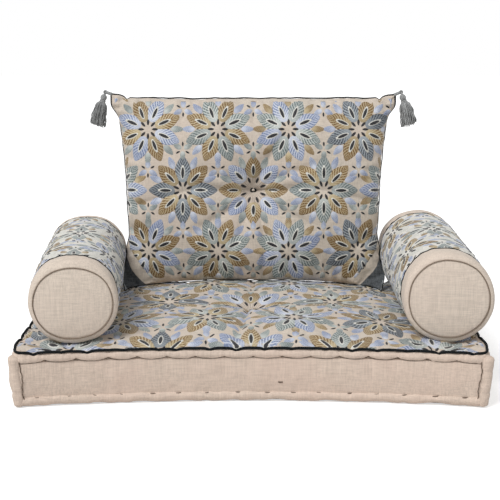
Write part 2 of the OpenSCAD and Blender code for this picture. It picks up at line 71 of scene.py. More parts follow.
# Seat pad, in metres: half the rectangle that the rolls run round, and how far its sides are drawn in
LINE_W = 0.487
LINE_D = 0.342
FRONT_BOW = 0.042
SIDE_BOW = 0.003
ROLL_R = 0.013
SEAT_H = 0.120
CORNER_R = 0.014
CORNER_SQUARE = 0.18
FLOOR_GAP = 0.0004
PIPING_R = 0.0030
PIPING_OUT = 0.0094
PIPING_Z = 0.1208
SEAT_EDGE_Z = 0.1185
SEAT_CROWN = 0.039
SEAT_TUFT_DEPTH = 0.020
SEAT_TUFT_REACH = 0.075
SIDE_STITCHES = (16, 12, 16, 12)
STITCH_STEP = 0.004

# Back cushion, about its own middle: across, through and up
BACK_MID_HALF_W = 0.3265
BACK_EAR_HALF_W = 0.352
BACK_FOOT_HALF_W = 0.308
BACK_HALF_H = 0.227
BACK_HALF_T = 0.075
BACK_EDGE_HALF_T = 0.003
BACK_LEAN = math.radians(7)
BACK_TUFT_DEPTH = 0.034
BACK_TUFT_REACH = 0.080
PIT_DEPTH = 0.009
PIT_REACH = 0.024
EAR_POWER = 1.4
EAR_FULLNESS = 0.003
EAR_RISE = 0.010
EAR_RISE_POWER = 10

# Bolsters
BOLSTER_R = 0.096
BOLSTER_L = 0.590
DISC_R = 0.0845
DISC_DOME = 0.007
CORD_INSET = 0.0053
SHELL = 0.003
REAR_FULLNESS = 0.022

# Tassels
TASSEL_LEAN = math.radians(18)
STEM_END = 0.008
HEAD_R = 0.0085
HEAD_H = 0.013
BINDING_R = 0.0075
BINDING_H = 0.007
SKIRT_L = 0.058
SKIRT_R = 0.0215


def smooth(share):
    """Eases from 0 to 1."""
    share = max(0.0, min(1.0, share))
    return share * share * (3 - 2 * share)


def hump(share):
    """Rises from 0 to 1 and back while the share goes from 0 to 1."""
    return math.sin(math.pi * max(0.0, min(1.0, share)))


def middle_of(node):
    low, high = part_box(node)
    return (low + high) / 2


# Small helpers for meshes

class Mesher:
    """One object's points and faces, with a material number for each face and a mark for each point."""

    def __init__(self):
        self.points, self.faces, self.looks, self.marks = [], [], [], []

    def add(self, points, faces, look=0, marks=None):
        base = len(self.points)
        self.points += [tuple(p) for p in points]
        self.faces += [[base + i for i in face] for face in faces]
        self.looks += [look] * len(faces)
        self.marks += list(marks) if marks is not None else [(0, 0, 0)] * len(points)

    def add_rings(self, rings, loop=False, look=0, marks=None):
        """A skin over rings of points. The rings close on each other, or the first and last are capped."""
        rings = np.asarray(rings, float)
        count, sides = rings.shape[:2]
        faces = []
        for i in range(count if loop else count - 1):
            j = (i + 1) % count
            for k in range(sides):
                m = (k + 1) % sides
                faces.append([i * sides + k, i * sides + m, j * sides + m, j * sides + k])
        if not loop:
            faces.append(list(range(sides))[::-1])
            faces.append([(count - 1) * sides + k for k in range(sides)])
        self.add(rings.reshape(-1, 3), faces, look, marks)

    def add_tube(self, line, radii, sides, up, loop=False, look=0, mark=(0, 0, 0)):
        """A tube along a line, with one mark for all its points."""
        self.add_rings(tube_rings(line, radii, sides, up, loop), loop, look, [mark] * (len(line) * sides))

    def build(self, name, materials):
        mesh = bpy.data.meshes.new(name)
        mesh.from_pydata(self.points, [], self.faces)
        for material in materials:
            mesh.materials.append(material)
        mesh.polygons.foreach_set("material_index", self.looks)
        mesh.polygons.foreach_set("use_smooth", [True] * len(self.faces))
        marks = mesh.attributes.new("mark", "FLOAT_VECTOR", "POINT")
        marks.data.foreach_set("vector", np.asarray(self.marks, np.float32).ravel())
        mesh.update()
        piece = bpy.data.objects.new(name, mesh)
        scene.collection.objects.link(piece)
        return piece


def tube_rings(line, radii, sides, up, loop=False):
    """Rings of points round a line. up is a direction that the line never follows."""
    line = np.asarray(line, float)
    if loop:
        along = np.roll(line, -1, 0) - np.roll(line, 1, 0)
    else:
        along = np.gradient(line, axis=0)
    along /= np.linalg.norm(along, axis=1)[:, None]
    across = np.cross(along, np.asarray(up, float))
    across /= np.linalg.norm(across, axis=1)[:, None]
    over = np.cross(across, along)
    turns = np.linspace(0, 2 * math.pi, sides, endpoint=False)
    radii = np.broadcast_to(np.asarray(radii, float), (len(line),))
    return (
        line[:, None]
        + across[:, None] * (radii[:, None] * np.cos(turns))[:, :, None]
        + over[:, None] * (radii[:, None] * np.sin(turns))[:, :, None]
    )


def outward_faces(piece):
    """Turns all faces of a closed piece outward."""
    work = bmesh.new()
    work.from_mesh(piece.data)
    bmesh.ops.recalc_face_normals(work, faces=work.faces)
    if work.calc_volume(signed=True) < 0:
        bmesh.ops.reverse_faces(work, faces=work.faces)
    work.to_mesh(piece.data)
    work.free()


def closed_cord(name, line, radii, sides, up, material):
    """A cord along a line that closes on itself."""
    work = Mesher()
    work.add_tube(line, radii, sides, up, loop=True)
    piece = work.build(name, [material])
    outward_faces(piece)
    return piece


def finished(piece, body, nodes=(), smoother=False):
    """Puts a piece on its body, smooths it when asked, and hides the model's parts that it stands for."""
    if smoother:
        modifier = piece.modifiers.new("smoother", "SUBSURF")
        modifier.levels = modifier.render_levels = 1
    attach(piece, body)
    if nodes:
        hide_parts(*nodes)
    return piece


def places(piece):
    points = np.zeros(len(piece.data.vertices) * 3, np.float32)
    piece.data.vertices.foreach_get("co", points)
    return points.reshape(-1, 3).astype(float)


def set_places(piece, points):
    piece.data.vertices.foreach_set("co", np.asarray(points, np.float32).ravel())
    piece.data.update()


def tree_of(piece):
    bpy.context.view_layer.update()
    return BVHTree.FromObject(piece, bpy.context.evaluated_depsgraph_get())


def wobble(point, scale, seed=0.0):
    """Smooth noise from -1 to 1."""
    return noise.noise(Vector(point) * scale + Vector((seed, seed * 0.37, -seed)))


# Materials

class Look:
    """One material's nodes, with short names for the usual ones."""

    def __init__(self, name, roughness, specular=0.25, sheen=0.0):
        self.material = bpy.data.materials.new(name)
        self.material.use_nodes = True
        self.tree = self.material.node_tree
        self.shader = self.tree.nodes["Principled BSDF"]
        self.shader.inputs["Roughness"].default_value = roughness
        self.shader.inputs["Specular IOR Level"].default_value = specular
        self.shader.inputs["Sheen Weight"].default_value = sheen

    def put(self, socket, value):
        if isinstance(value, bpy.types.NodeSocket):
            self.tree.links.new(value, socket)
        else:
            socket.default_value = value

    def add(self, kind, inputs, output=0, **settings):
        node = self.tree.nodes.new("ShaderNode" + kind)
        for key, value in settings.items():
            setattr(node, key, value)
        for key, value in inputs.items():
            self.put(node.inputs[key], value)
        return node.outputs[output]

    def maths(self, operation, a, b=0.0):
        return self.add("Math", {0: a, 1: b}, operation=operation)

    def plus(self, a, b):
        return self.maths("ADD", a, b)

    def minus(self, a, b):
        return self.maths("SUBTRACT", a, b)

    def times(self, a, b):
        return self.maths("MULTIPLY", a, b)

    def over(self, a, b):
        return self.maths("DIVIDE", a, b)

    def sine(self, a):
        return self.maths("SINE", a)

    def size(self, a):
        return self.maths("ABSOLUTE", a)

    def mix(self, share, a, b):
        return self.add("Mix", {0: share, 6: a, 7: b}, 2, data_type="RGBA")

    def ramp(self, value, low, high, to_low=0.0, to_high=1.0):
        inputs = {"Value": value, "From Min": low, "From Max": high, "To Min": to_low, "To Max": to_high}
        return self.add("MapRange", inputs, interpolation_type="SMOOTHSTEP")

    def place(self):
        return self.add("TexCoord", {}, "Object")

    def mark(self):
        """The mark of each point, and its three parts."""
        mark = self.add("Attribute", {}, "Vector", attribute_name="mark")
        parts = self.tree.nodes.new("ShaderNodeSeparateXYZ")
        self.put(parts.inputs[0], mark)
        return mark, parts.outputs

    def grain(self, vector, scales, detail=2.0):
        """Noise stretched along the axes by the scales, in cells per metre."""
        stretched = self.add("Mapping", {"Vector": vector, "Scale": scales})
        return self.add("TexNoise", {"Vector": stretched, "Scale": 1.0, "Detail": detail}, "Fac")

    def bump(self, height, strength, distance):
        inputs = {"Strength": strength, "Distance": distance, "Height": height}
        self.put(self.shader.inputs["Normal"], self.add("Bump", inputs))

    def colour(self, socket):
        self.put(self.shader.inputs["Base Color"], socket)
        return self.material


def tone(colour, factor):
    return tuple(min(1.0, c * factor) for c in colour[:3]) + (1.0,)


# Threads: cells per metre of their noise across fine threads, across slubs, and along either
FINE, COARSE, LONG = 900.0, 330.0, 22.0
# Painted shade in the lower corners of the back cushion: how far it reaches across and up
CORNER_SHADE_ACROSS = 0.050
CORNER_SHADE_UP = 0.082
# Colours of the painted corner shade, on the darker threads and on the paler ones
CORNER_SHADE_DARK, CORNER_SHADE_PALE = (0.035, 0.040, 0.045, 1), (0.12, 0.13, 0.14, 1)
PLEATS_ROUND = 29.0
PLEAT_REACH = 0.060
PLEAT_START = 0.012


def pleat_height(look):
    """Fine folds round a tuft, as a height that gives their bump and the painted shade in their hollows. The
    mark of a cushion with a tuft holds its flat place, measured from the tuft.
    """
    mark, parts = look.mark()
    angle = look.maths("ARCTAN2", parts[1], parts[0])
    distance = look.add("VectorMath", {0: mark}, "Value", operation="LENGTH")
    twist = look.times(look.grain(mark, (14.0, 14.0, 14.0)), 5.0)
    wave = look.sine(look.plus(look.times(angle, PLEATS_ROUND), twist))
    return look.times(wave, look.ramp(distance, PLEAT_REACH, PLEAT_START))


def corner_shade_share(look):
    """1 where the back cushion's lower corners are painted in shade and 0 elsewhere, from the flat place that
    the mark holds.
    """
    _, parts = look.mark()
    inward = look.minus(BACK_FOOT_HALF_W, look.size(parts[0]))
    upward = look.plus(parts[1], BACK_HALF_H)
    reach = look.plus(look.over(inward, CORNER_SHADE_ACROSS), look.over(upward, CORNER_SHADE_UP))
    return look.ramp(reach, 1.02, 0.98)


def woven(name, colour, warm, contrast=0.16, sheen=0.15, pleats_and_shade=False, painted_corner_shade=False):
    """Plain-woven cloth with slubs along both threads and soft blotches of a warmer tone. When asked, it also
    carries painted shade in the hollows of the pleats round a tuft and in the back cushion's lower corners.
    """
    look = Look(name, 0.86, sheen=sheen)
    place = look.place()
    upright = look.grain(place, (FINE, FINE, LONG))
    level = look.grain(place, (LONG, FINE, FINE))
    deep = look.grain(place, (FINE, LONG, FINE))
    threads = look.plus(look.plus(upright, level), deep)
    slub_up = look.grain(place, (COARSE, COARSE, LONG), 3.0)
    slub_level = look.grain(place, (LONG, COARSE, COARSE), 3.0)
    slubs = look.plus(slub_up, slub_level)
    share = look.ramp(look.plus(look.times(threads, 0.35), look.times(slubs, 0.45)), 0.72, 1.22)
    weave = look.mix(share, tone(colour, 1 - contrast), tone(colour, 1 + contrast))
    blotches = look.ramp(look.grain(place, (9.0, 9.0, 9.0), 3.0), 0.35, 0.7)
    height = look.plus(threads, slubs)
    body = look.mix(look.times(blotches, 0.5), weave, look.mix(0.5, weave, warm))
    if pleats_and_shade:
        pleat = pleat_height(look)
        height = look.plus(height, look.times(pleat, 2.6))
        # Painted shade: the cloth is painted darker in the hollows of the pleats round the tuft.
        body = look.mix(look.ramp(pleat, -0.05, -0.80, 0.0, 0.62), body, tone(warm, 0.50))
    if painted_corner_shade:
        # Painted shade: the lower corners are painted near black, as the shaded side of the cushion where its
        # foot turns back.
        body = look.mix(corner_shade_share(look), body, look.mix(share, CORNER_SHADE_DARK, CORNER_SHADE_PALE))
    look.bump(height, 0.35, 0.0006)
    return look.colour(body)


def satin(name, colour, pale, dark):
    """Embroidery thread laid along a leaf, with veins that slant out from its middle and a worked edge."""
    look = Look(name, 0.55, specular=0.35, sheen=0.2)
    mark, (along, across, seed) = look.mark()
    side = look.size(across)
    wander = look.times(look.grain(mark, (5.0, 5.0, 9.0)), 0.05)
    slant = look.plus(look.minus(along, look.times(side, 0.30)), wander)
    veins = look.sine(look.times(slant, 54.0))
    vein = look.times(look.ramp(veins, 0.05, 0.75), look.ramp(side, 0.0, 0.30, 0.5, 1.0))
    rows = look.sine(look.times(side, 27.0))
    broken = look.ramp(look.grain(mark, (26.0, 6.0, 11.0), 1.0), 0.36, 0.52)
    row = look.times(look.ramp(rows, 0.3, 0.95), broken)
    streaks = look.grain(mark, (9.0, 70.0, 11.0), 2.0)
    heart = look.ramp(look.plus(along, look.times(side, 0.25)), 0.66, 0.20)
    body = look.mix(look.ramp(streaks, 0.35, 0.68), tone(colour, 0.72), tone(colour, 1.10))
    for share, strength in ((heart, 0.72), (vein, 0.85), (row, 0.55)):
        body = look.mix(look.times(share, strength), body, pale)
    body = look.mix(look.ramp(side, 0.80, 0.95, 0.0, 0.9), body, dark)
    shade = look.ramp(seed, 0.0, 1.0, 0.0, 0.32)
    look.bump(look.plus(look.times(veins, 0.5), look.grain(mark, (30.0, 200.0, 3.0))), 0.5, 0.0005)
    return look.colour(look.mix(shade, body, tone(dark, 1.3)))


def corded(name, colour, lift):
    """Cord or thread with fine slanting strands."""
    look = Look(name, 0.8, specular=0.1)
    strands = look.grain(look.place(), (500.0, 500.0, 500.0), 3.0)
    look.bump(strands, 0.5, 0.0008)
    return look.colour(look.mix(look.ramp(strands, 0.35, 0.7), colour, lift))


def yarn(name, colour, shade):
    """Soft spun yarn: painted shade makes it darker between its strands."""
    look = Look(name, 0.9, sheen=0.35)
    strands = look.grain(look.place(), (700.0, 700.0, 60.0), 3.0)
    _, parts = look.mark()
    base = look.mix(parts[2], colour, shade)
    look.bump(strands, 0.5, 0.0006)
    # Painted shade: the yarn is darker between its strands.
    return look.colour(look.mix(look.ramp(strands, 0.3, 0.7), tone(shade, 0.9), base))


GROUND_COLOURS = (0.600, 0.530, 0.450, 1), (0.68, 0.53, 0.45, 1)
LINEN = woven("plain_linen", (0.660, 0.540, 0.450, 1), (0.74, 0.55, 0.46, 1))
DISC_LINEN = woven("disc_linen", (0.680, 0.585, 0.495, 1), (0.74, 0.60, 0.51, 1))
GROUND = woven("ground_linen", *GROUND_COLOURS)
TUFTED_AND_SHADED = woven("tufted_linen_and_pleat_shade", *GROUND_COLOURS, pleats_and_shade=True)
# The sleeves' cloth, paler than the ground linen: partly its own paler tone, partly painted highlight on the
# bolsters.
SLEEVE_CLOTH_AND_HIGHLIGHT = woven("sleeve_linen_and_highlight", (0.760, 0.735, 0.685, 1), (0.78, 0.73, 0.66, 1))
BACK_CLOTH_AND_SHADE = woven("back_linen_and_painted_shade", *GROUND_COLOURS, pleats_and_shade=True, painted_corner_shade=True)
GREY = woven("grey_cotton", (0.30, 0.32, 0.33, 1), (0.27, 0.30, 0.33, 1))
DARK = corded("dark_cord", (0.004, 0.005, 0.006, 1), (0.014, 0.016, 0.017, 1))
# Dark brown thread for the stitches, the seams beside the corner rolls and the cord along the upper roll's
# crease: partly the thread's own colour, partly painted shade in the dimples and the crease.
SEAM_THREAD_AND_SHADE = corded("seam_thread_and_shade", (0.090, 0.062, 0.045, 1), (0.20, 0.145, 0.11, 1))
# The bolsters' disc seam cord, painted brown: partly its own colour, partly painted shade along the seam.
PALE_SEAM_AND_SHADE = corded("disc_seam_cord_and_shade", (0.20, 0.150, 0.115, 1), (0.32, 0.25, 0.19, 1))
YARN = yarn("grey_yarn", (0.50, 0.51, 0.505, 1), (0.22, 0.225, 0.225, 1))
OCHRE = satin("ochre_thread", (0.200, 0.103, 0.021, 1), (0.64, 0.54, 0.35, 1), (0.085, 0.042, 0.012, 1))
BLUE = satin("blue_thread", (0.215, 0.272, 0.430, 1), (0.72, 0.75, 0.82, 1), (0.10, 0.13, 0.24, 1))
SAGE = satin("sage_thread", (0.150, 0.190, 0.185, 1), (0.64, 0.67, 0.64, 1), (0.070, 0.090, 0.10, 1))
SLATE = satin("slate_thread", (0.058, 0.070, 0.090, 1), (0.42, 0.46, 0.49, 1), (0.022, 0.027, 0.036, 1))
BLACK = satin("black_thread", (0.010, 0.010, 0.012, 1), (0.016, 0.016, 0.020, 1), (0.006, 0.006, 0.008, 1))
CREAM = satin("cream_thread", (0.70, 0.69, 0.63, 1), (0.78, 0.77, 0.72, 1), (0.52, 0.51, 0.46, 1))
THREADS = [OCHRE, BLUE, SAGE, SLATE, BLACK, CREAM]
OCHRE_NO, BLUE_NO, SAGE_NO, SLATE_NO, BLACK_NO, CREAM_NO = range(6)


# Studio

def make_camera():
    data = bpy.data.cameras.new("camera")
    data.sensor_width = SENSOR_WIDTH
    data.lens = CAMERA_LENS
    camera = bpy.data.objects.new("camera", data)
    camera.location = CAMERA_PLACE
    aim = Vector(CAMERA_TARGET) - Vector(CAMERA_PLACE)
    camera.rotation_euler = aim.to_track_quat("-Z", "Y").to_euler()
    scene.collection.objects.link(camera)
    scene.camera = camera


def seen_rays(tree):
    """Share that is 1 for rays from the camera, from glossy surfaces and through clear ones."""
    path = tree.nodes.new("ShaderNodeLightPath")
    share = path.outputs["Is Camera Ray"]
    for kind in ("Is Glossy Ray", "Is Transmission Ray"):
        larger = tree.nodes.new("ShaderNodeMath")
        larger.operation = "MAXIMUM"
        tree.links.new(share, larger.inputs[0])
        tree.links.new(path.outputs[kind], larger.inputs[1])
        share = larger.outputs[0]
    return share


WHITE = (1, 1, 1, 1)
AMBIENT = 0.46
SUN_POWER = 1.95
SUN_ANGLE = math.radians(22)
SUN_TOWARDS = (0.50, 0.65, -1.0)
FLOOR_HALF = 14.0
FLOOR_COLOUR = (0.78, 0.78, 0.78, 1)
FLOOR_GLOW = 0.54


def make_world():
    """Soft light from all round, seen as plain white."""
    scene.view_settings.view_transform = "Standard"
    world = bpy.data.worlds.new("studio")
    scene.world = world
    world.use_nodes = True
    tree = world.node_tree
    soft = tree.nodes["Background"]
    white = tree.nodes.new("ShaderNodeBackground")
    for node, strength in ((soft, AMBIENT), (white, 1.0)):
        node.inputs["Color"].default_value = WHITE
        node.inputs["Strength"].default_value = strength
    choice = tree.nodes.new("ShaderNodeMixShader")
    tree.links.new(seen_rays(tree), choice.inputs[0])
    tree.links.new(soft.outputs[0], choice.inputs[1])
    tree.links.new(white.outputs[0], choice.inputs[2])
    tree.links.new(choice.outputs[0], tree.nodes["World Output"].inputs["Surface"])


def make_sun():
    data = bpy.data.lights.new("key", "SUN")
    data.energy = SUN_POWER
    data.angle = SUN_ANGLE
    key = bpy.data.objects.new("key", data)
    key.rotation_euler = Vector(SUN_TOWARDS).to_track_quat("-Z", "Y").to_euler()
    scene.collection.objects.link(key)


def make_floor():
    """A pale floor that glows a little for the camera and keeps the object's shadow."""
    mesh = bpy.data.meshes.new("floor")
    corners = [(x * FLOOR_HALF, y * FLOOR_HALF, 0) for x, y in ((-1, -1), (1, -1), (1, 1), (-1, 1))]
    mesh.from_pydata(corners, [], [[0, 1, 2, 3]])
    floor = bpy.data.objects.new("floor", mesh)
    scene.collection.objects.link(floor)
    material = bpy.data.materials.new("floor")
    material.use_nodes = True
    tree = material.node_tree
    shader = tree.nodes["Principled BSDF"]
    shader.inputs["Base Color"].default_value = FLOOR_COLOUR
    shader.inputs["Roughness"].default_value = 0.95
    shader.inputs["Specular IOR Level"].default_value = 0.0
    shader.inputs["Emission Color"].default_value = WHITE
    glow = tree.nodes.new("ShaderNodeMath")
    glow.operation = "MULTIPLY"
    tree.links.new(seen_rays(tree), glow.inputs[0])
    glow.inputs[1].default_value = FLOOR_GLOW
    tree.links.new(glow.outputs[0], shader.inputs["Emission Strength"])
    mesh.materials.append(material)


# Edges of the seat pad

def side_point(side, share, out):
    """A point along one side of the seat, and its outward direction.

    Side 0 is the front, 1 the right, 2 the rear and 3 the left."""
    half, away, bow = (LINE_W, LINE_D, FRONT_BOW) if side % 2 == 0 else (LINE_D, LINE_W, SIDE_BOW)
    run = half - CORNER_R
    point = np.array([share * run, -(away - bow * (1 - share * share))])
    normal = np.array([-2 * bow * share / run, -1.0])
    normal /= np.linalg.norm(normal)
    return turned(point + normal * out, side), turned(normal, side)


def turned(vector, quarters):
    for _ in range(quarters):
        vector = np.array([-vector[1], vector[0]])
    return vector


def corner_point(corner, angle, out):
    """A point round the corner that follows a side, and its outward direction."""
    half, away = (LINE_W, LINE_D) if corner % 2 == 0 else (LINE_D, LINE_W)
    normal = np.array([math.cos(angle), math.sin(angle)])
    centre = np.array([half - CORNER_R, -(away - CORNER_R)])
    reach = (CORNER_R + out) * (1 + CORNER_SQUARE * math.sin(2 * angle) ** 2)
    return turned(centre + normal * reach, corner), turned(normal, corner)


def edge_stations(step=STITCH_STEP, corner_steps=7):
    """Stations all round the seat, counterclockwise from above: (how to place one, side, share)."""
    stations = []
    for side in range(4):
        run = 2 * (half_length(side) - CORNER_R)
        count = int(run / step)
        for i in range(count + 1):
            share = -1 + 2 * i / count
            stations.append((lambda out, s=side, t=share: side_point(s, t, out), side, share))
        for k in range(1, corner_steps):
            angle = math.radians(-90 + 90 * k / corner_steps)
            near = side if k < corner_steps / 2 else (side + 1) % 4
            share = 1.0 if near == side else -1.0
            stations.append((lambda out, s=side, a=angle: corner_point(s, a, out), near, share))
    return stations


# How far the pad's upper corners are drawn in along each axis, over what reach, and from what height up
CORNER_IN = (0.0105, 0.0040)
CORNER_IN_REACH = 0.034
CORNER_OUT = 0.009
DRAWN_FROM, DRAWN_OVER = 0.085, 0.030


def drawn_in(point, share=1.0):
    """Draws a point near one of the seat's corners towards the seat's middle."""
    place = np.asarray(point[:2])
    from_corner = np.array([LINE_W, LINE_D]) + CORNER_OUT - abs(place)
    weight = share * math.exp(-(math.hypot(*from_corner) / CORNER_IN_REACH) ** 2)
    return place - np.copysign(np.array(CORNER_IN) * weight, place)


def stitch_row(seed):
    """Stitches on each side: (share of the side, pull from 0.5 to 1)."""
    rng = random.Random(seed)
    return [
        [(-1 + (2 * k + 1) / count + rng.uniform(-0.012, 0.012), rng.uniform(0.55, 1)) for k in range(count)]
        for count in SIDE_STITCHES
    ]


TOP_STITCHES = stitch_row(5)
LOW_STITCHES = stitch_row(11)
FRONT_PLACES = (
    -0.901, -0.767, -0.628, -0.502, -0.372, -0.247, -0.117, 0.010,
    0.137, 0.264, 0.391, 0.518, 0.645, 0.772, 0.899,
)
TOP_STITCHES[0] = [(place, 0.75 + 0.25 * math.sin(7 * k)) for k, place in enumerate(FRONT_PLACES)]
# Notches of the piping on each side: (share of the side, depth as a share of the deepest)
NOTCHES = [
    [(-0.953, 0.75), (-0.830, 0.30), (-0.719, 0.85), (-0.560, 0.25), (-0.407, 0.35), (-0.329, 0.70),
     (-0.182, 0.65), (-0.065, 1.00), (0.061, 0.60), (0.180, 0.30), (0.330, 0.25), (0.446, 0.80),
     (0.555, 0.55), (0.690, 0.30), (0.823, 0.85), (0.979, 0.70)],
    [(-0.94, 0.60), (-0.66, 0.75), (-0.42, 0.40), (-0.10, 0.80), (0.22, 0.50), (0.48, 0.75), (0.80, 0.55)],
    [(-0.95, 0.60), (-0.74, 0.80), (-0.48, 0.40), (-0.20, 0.75), (0.05, 0.55), (0.33, 0.80), (0.61, 0.40),
     (0.86, 0.75)],
    [(-0.82, 0.55), (-0.52, 0.80), (-0.18, 0.45), (0.12, 0.75), (0.40, 0.40), (0.70, 0.80), (0.94, 0.55)],
]
MOST_PULL = 1.1
PINCH_REACH = 0.011
NOTCH_DEPTH = 0.0090
NOTCH_REACH = 0.0075
SLIGHT_DEPTH = 0.0010
SLIGHT_REACH = 1.6 * NOTCH_REACH


def half_length(side):
    return LINE_W if side % 2 == 0 else LINE_D


def pull(stitches, side, share, reach):
    """How strongly the stitches near a place draw it in."""
    half = half_length(side)
    total = sum(strength * math.exp(-abs(share - place) * half / reach) for place, strength in stitches[side])
    return min(total, MOST_PULL)


def piping_drop(side, share):
    """How far the piping and the panel's edge sink at the stitches."""
    deep = NOTCH_DEPTH * pull(NOTCHES, side, share, NOTCH_REACH)
    return deep + SLIGHT_DEPTH * pull(TOP_STITCHES, side, share, SLIGHT_REACH)


def around_seat(name, section, material, stations, drawn=0.0):
    """Sweeps a closed section round the seat. section(side, share) gives pairs of out and height."""
    work = Mesher()
    rings = []
    for place, side, share in stations:
        ring = []
        for out, z in section(side, share):
            point = drawn_in(place(out)[0], drawn * smooth((z - DRAWN_FROM) / DRAWN_OVER))
            ring.append((point[0], point[1], z))
        rings.append(ring)
    work.add_rings(rings, loop=True)
    piece = work.build(name, [material])
    outward_faces(piece)
    return piece


def crumple(piece, amount, scale, seed):
    """Small uneven folds over a piece, as cloth has that wasn't pressed."""
    points = places(piece)
    normals = np.zeros(len(points) * 3, np.float32)
    piece.data.vertex_normals.foreach_get("vector", normals)
    normals = normals.reshape(-1, 3)
    for i, p in enumerate(points):
        shift = amount * (wobble(p, scale, seed) + 0.5 * wobble(p, scale * 2.3, seed + 7))
        points[i] = p + normals[i] * shift
    points[:, 2] = np.maximum(points[:, 2], FLOOR_GAP)
    set_places(piece, points)


# Puckers of the upper roll: their height along the sides, what the corners add, how much they move outward,
# and how close they follow each other, in radians per metre
PUCKER = 0.0004
CORNER_PUCKER = 0.0011
CORNER_PUCKER_REACH = 0.09
PUCKER_OUT = 2.0
PUCKER_PACE = 520


def gather(piece):
    """Small upright puckers of the upper roll, stronger towards the corners."""
    points = places(piece)
    for i, (x, y, z) in enumerate(points):
        across, deep = LINE_W - abs(x), LINE_D - abs(y)
        corner = math.exp(-math.hypot(across, deep) / CORNER_PUCKER_REACH)
        along = x if abs(deep) < abs(across) else y
        wave = math.sin(along * PUCKER_PACE + 3 * math.sin(along * 61)) * (PUCKER + CORNER_PUCKER * corner)
        points[i][2] = z + wave
        points[i][:2] *= 1 + PUCKER_OUT * wave
    set_places(piece, points)


LIFT_UNEVEN, LIFT_EVEN = 0.0050, 0.0020
LIFT_HEIGHT = 0.020


def lift_edge(piece):
    """Lifts the lower roll off the floor here and there, so that its outline waves."""
    points = places(piece)
    for i, (x, y, z) in enumerate(points):
        rise = LIFT_UNEVEN * max(0.0, wobble((x * 9, y * 9, 0), 1.0, 13.0))
        rise += LIFT_EVEN * max(0.0, math.sin(x * 63 + y * 71))
        points[i][2] = z + rise * max(0.0, 1 - z / LIFT_HEIGHT)
    set_places(piece, points)


ROLL_SIDES = 24
ROLL_FULL, ROLL_PINCH = 1.04, 0.30
CREASE_R = 0.0007
BOTTOM_TUCK = 0.011


def tuck(z):
    """How far the side wall leans in towards the floor."""
    return BOTTOM_TUCK * max(0.0, 1 - z / SEAT_H) ** 1.4


def roll_r(scallop, pinch):
    return ROLL_R * (ROLL_FULL - ROLL_PINCH * scallop * pinch)


def roll_section(stitches, centre_z, border_side, scallop):
    """Section of a stitched roll: drawn in at each stitch, most where it meets the border."""
    def section(side, share):
        pinch = pull(stitches, side, share, PINCH_REACH)
        r = roll_r(scallop, pinch)
        points = []
        for k in range(ROLL_SIDES):
            angle = 2 * math.pi * k / ROLL_SIDES
            out, up = math.cos(angle), math.sin(angle)
            towards = max(0.0, up * border_side)
            away = max(0.0, -up * border_side)
            lowered = scallop * pinch * smooth(3 * towards)
            up *= 1 - lowered - 0.10 * pinch * smooth(3 * away) * (border_side > 0)
            z = centre_z + r * up
            if border_side < 0:
                z -= 0.75 * piping_drop(side, share) * max(0.0, up)
            points.append((r * out * (1 - 0.12 * pinch * towards) - tuck(z), max(z, FLOOR_GAP)))
        return points
    return section


def crease_height(stitches, centre_z, border_side, scallop, side, share):
    """Height at which a roll meets the border."""
    pinch = pull(stitches, side, share, PINCH_REACH)
    rise = math.sqrt(max(0.0, roll_r(scallop, pinch) ** 2 - (BORDER_OUT + 0.0006) ** 2))
    return centre_z + border_side * rise * (1 - scallop * pinch)


BORDER_LOW = 0.020
BORDER_HIGH = 0.100
BORDER_OUT = 0.0088
BORDER_SWELL = 0.0022
TOP_SCALLOP = 0.60
LOW_SCALLOP = 0.14
BORDER_ROWS = 18
BORDER_RIPPLE = 0.0016
BORDER_DIMPLE, BORDER_DIMPLE_REACH = 0.0022, 0.012
TOP_CRUMPLE, LOW_CRUMPLE, WALL_CRUMPLE = (0.0010, 70, 3), (0.0016, 48, 9), (0.0009, 34, 21)
# The two rolls, for roll_section and crease_height: stitches, middle, side of the border, and scallop
TOP_ROLL = (TOP_STITCHES, SEAT_H - ROLL_R, -1, TOP_SCALLOP)
LOW_ROLL = (LOW_STITCHES, ROLL_R, 1, LOW_SCALLOP)


def border_section(side, share):
    """Section of the border between the rolls: slightly full, with ripples below the stitches."""
    outer, inner = [], []
    where = share * half_length(side)
    for k in range(BORDER_ROWS + 1):
        s = k / BORDER_ROWS
        z = BORDER_LOW + (BORDER_HIGH - BORDER_LOW) * s
        arch = math.sin(math.pi * s)
        full = BORDER_SWELL * arch
        full += BORDER_RIPPLE * wobble((where * 30, side * 7.3, z * 7), 1.0, 2.0) * arch ** 0.7
        above = BORDER_DIMPLE * pull(TOP_STITCHES, side, share, BORDER_DIMPLE_REACH) * s ** 5
        below = BORDER_DIMPLE * pull(LOW_STITCHES, side, share, BORDER_DIMPLE_REACH) * (1 - s) ** 5
        out = BORDER_OUT + full - above - below - tuck(z)
        outer.append((out, z))
        inner.append((out - SHELL, z))
    return outer + inner[::-1]


def make_edges():
    stations = edge_stations()
    top = around_seat("seat_top_roll", roll_section(*TOP_ROLL), LINEN, stations, 0.8)
    low = around_seat("seat_bottom_roll", roll_section(*LOW_ROLL), LINEN, stations)
    wall = around_seat("seat_border", border_section, LINEN, stations)
    crumple(top, *TOP_CRUMPLE)
    crumple(low, *LOW_CRUMPLE)
    crumple(wall, *WALL_CRUMPLE)
    gather(top)
    lift_edge(low)
    for piece in (top, low, wall):
        nodes = [piece.name + "_" + side for side in ("front", "rear", "left", "right")]
        finished(piece, "seat_pad", nodes, smoother=True)
    # A dark cord along the crease where the upper roll meets the border: partly a seam, partly painted shade
    # in the crease.
    line = []
    for place, side, share in stations:
        z = crease_height(*TOP_ROLL, side, share)
        point, _ = place(BORDER_OUT + 0.0005 - tuck(z))
        line.append((point[0], point[1], z))
    crease = closed_cord("seat_roll_crease", line, CREASE_R, 6, (0, 0, 1), SEAM_THREAD_AND_SHADE)
    finished(crease, "seat_pad")


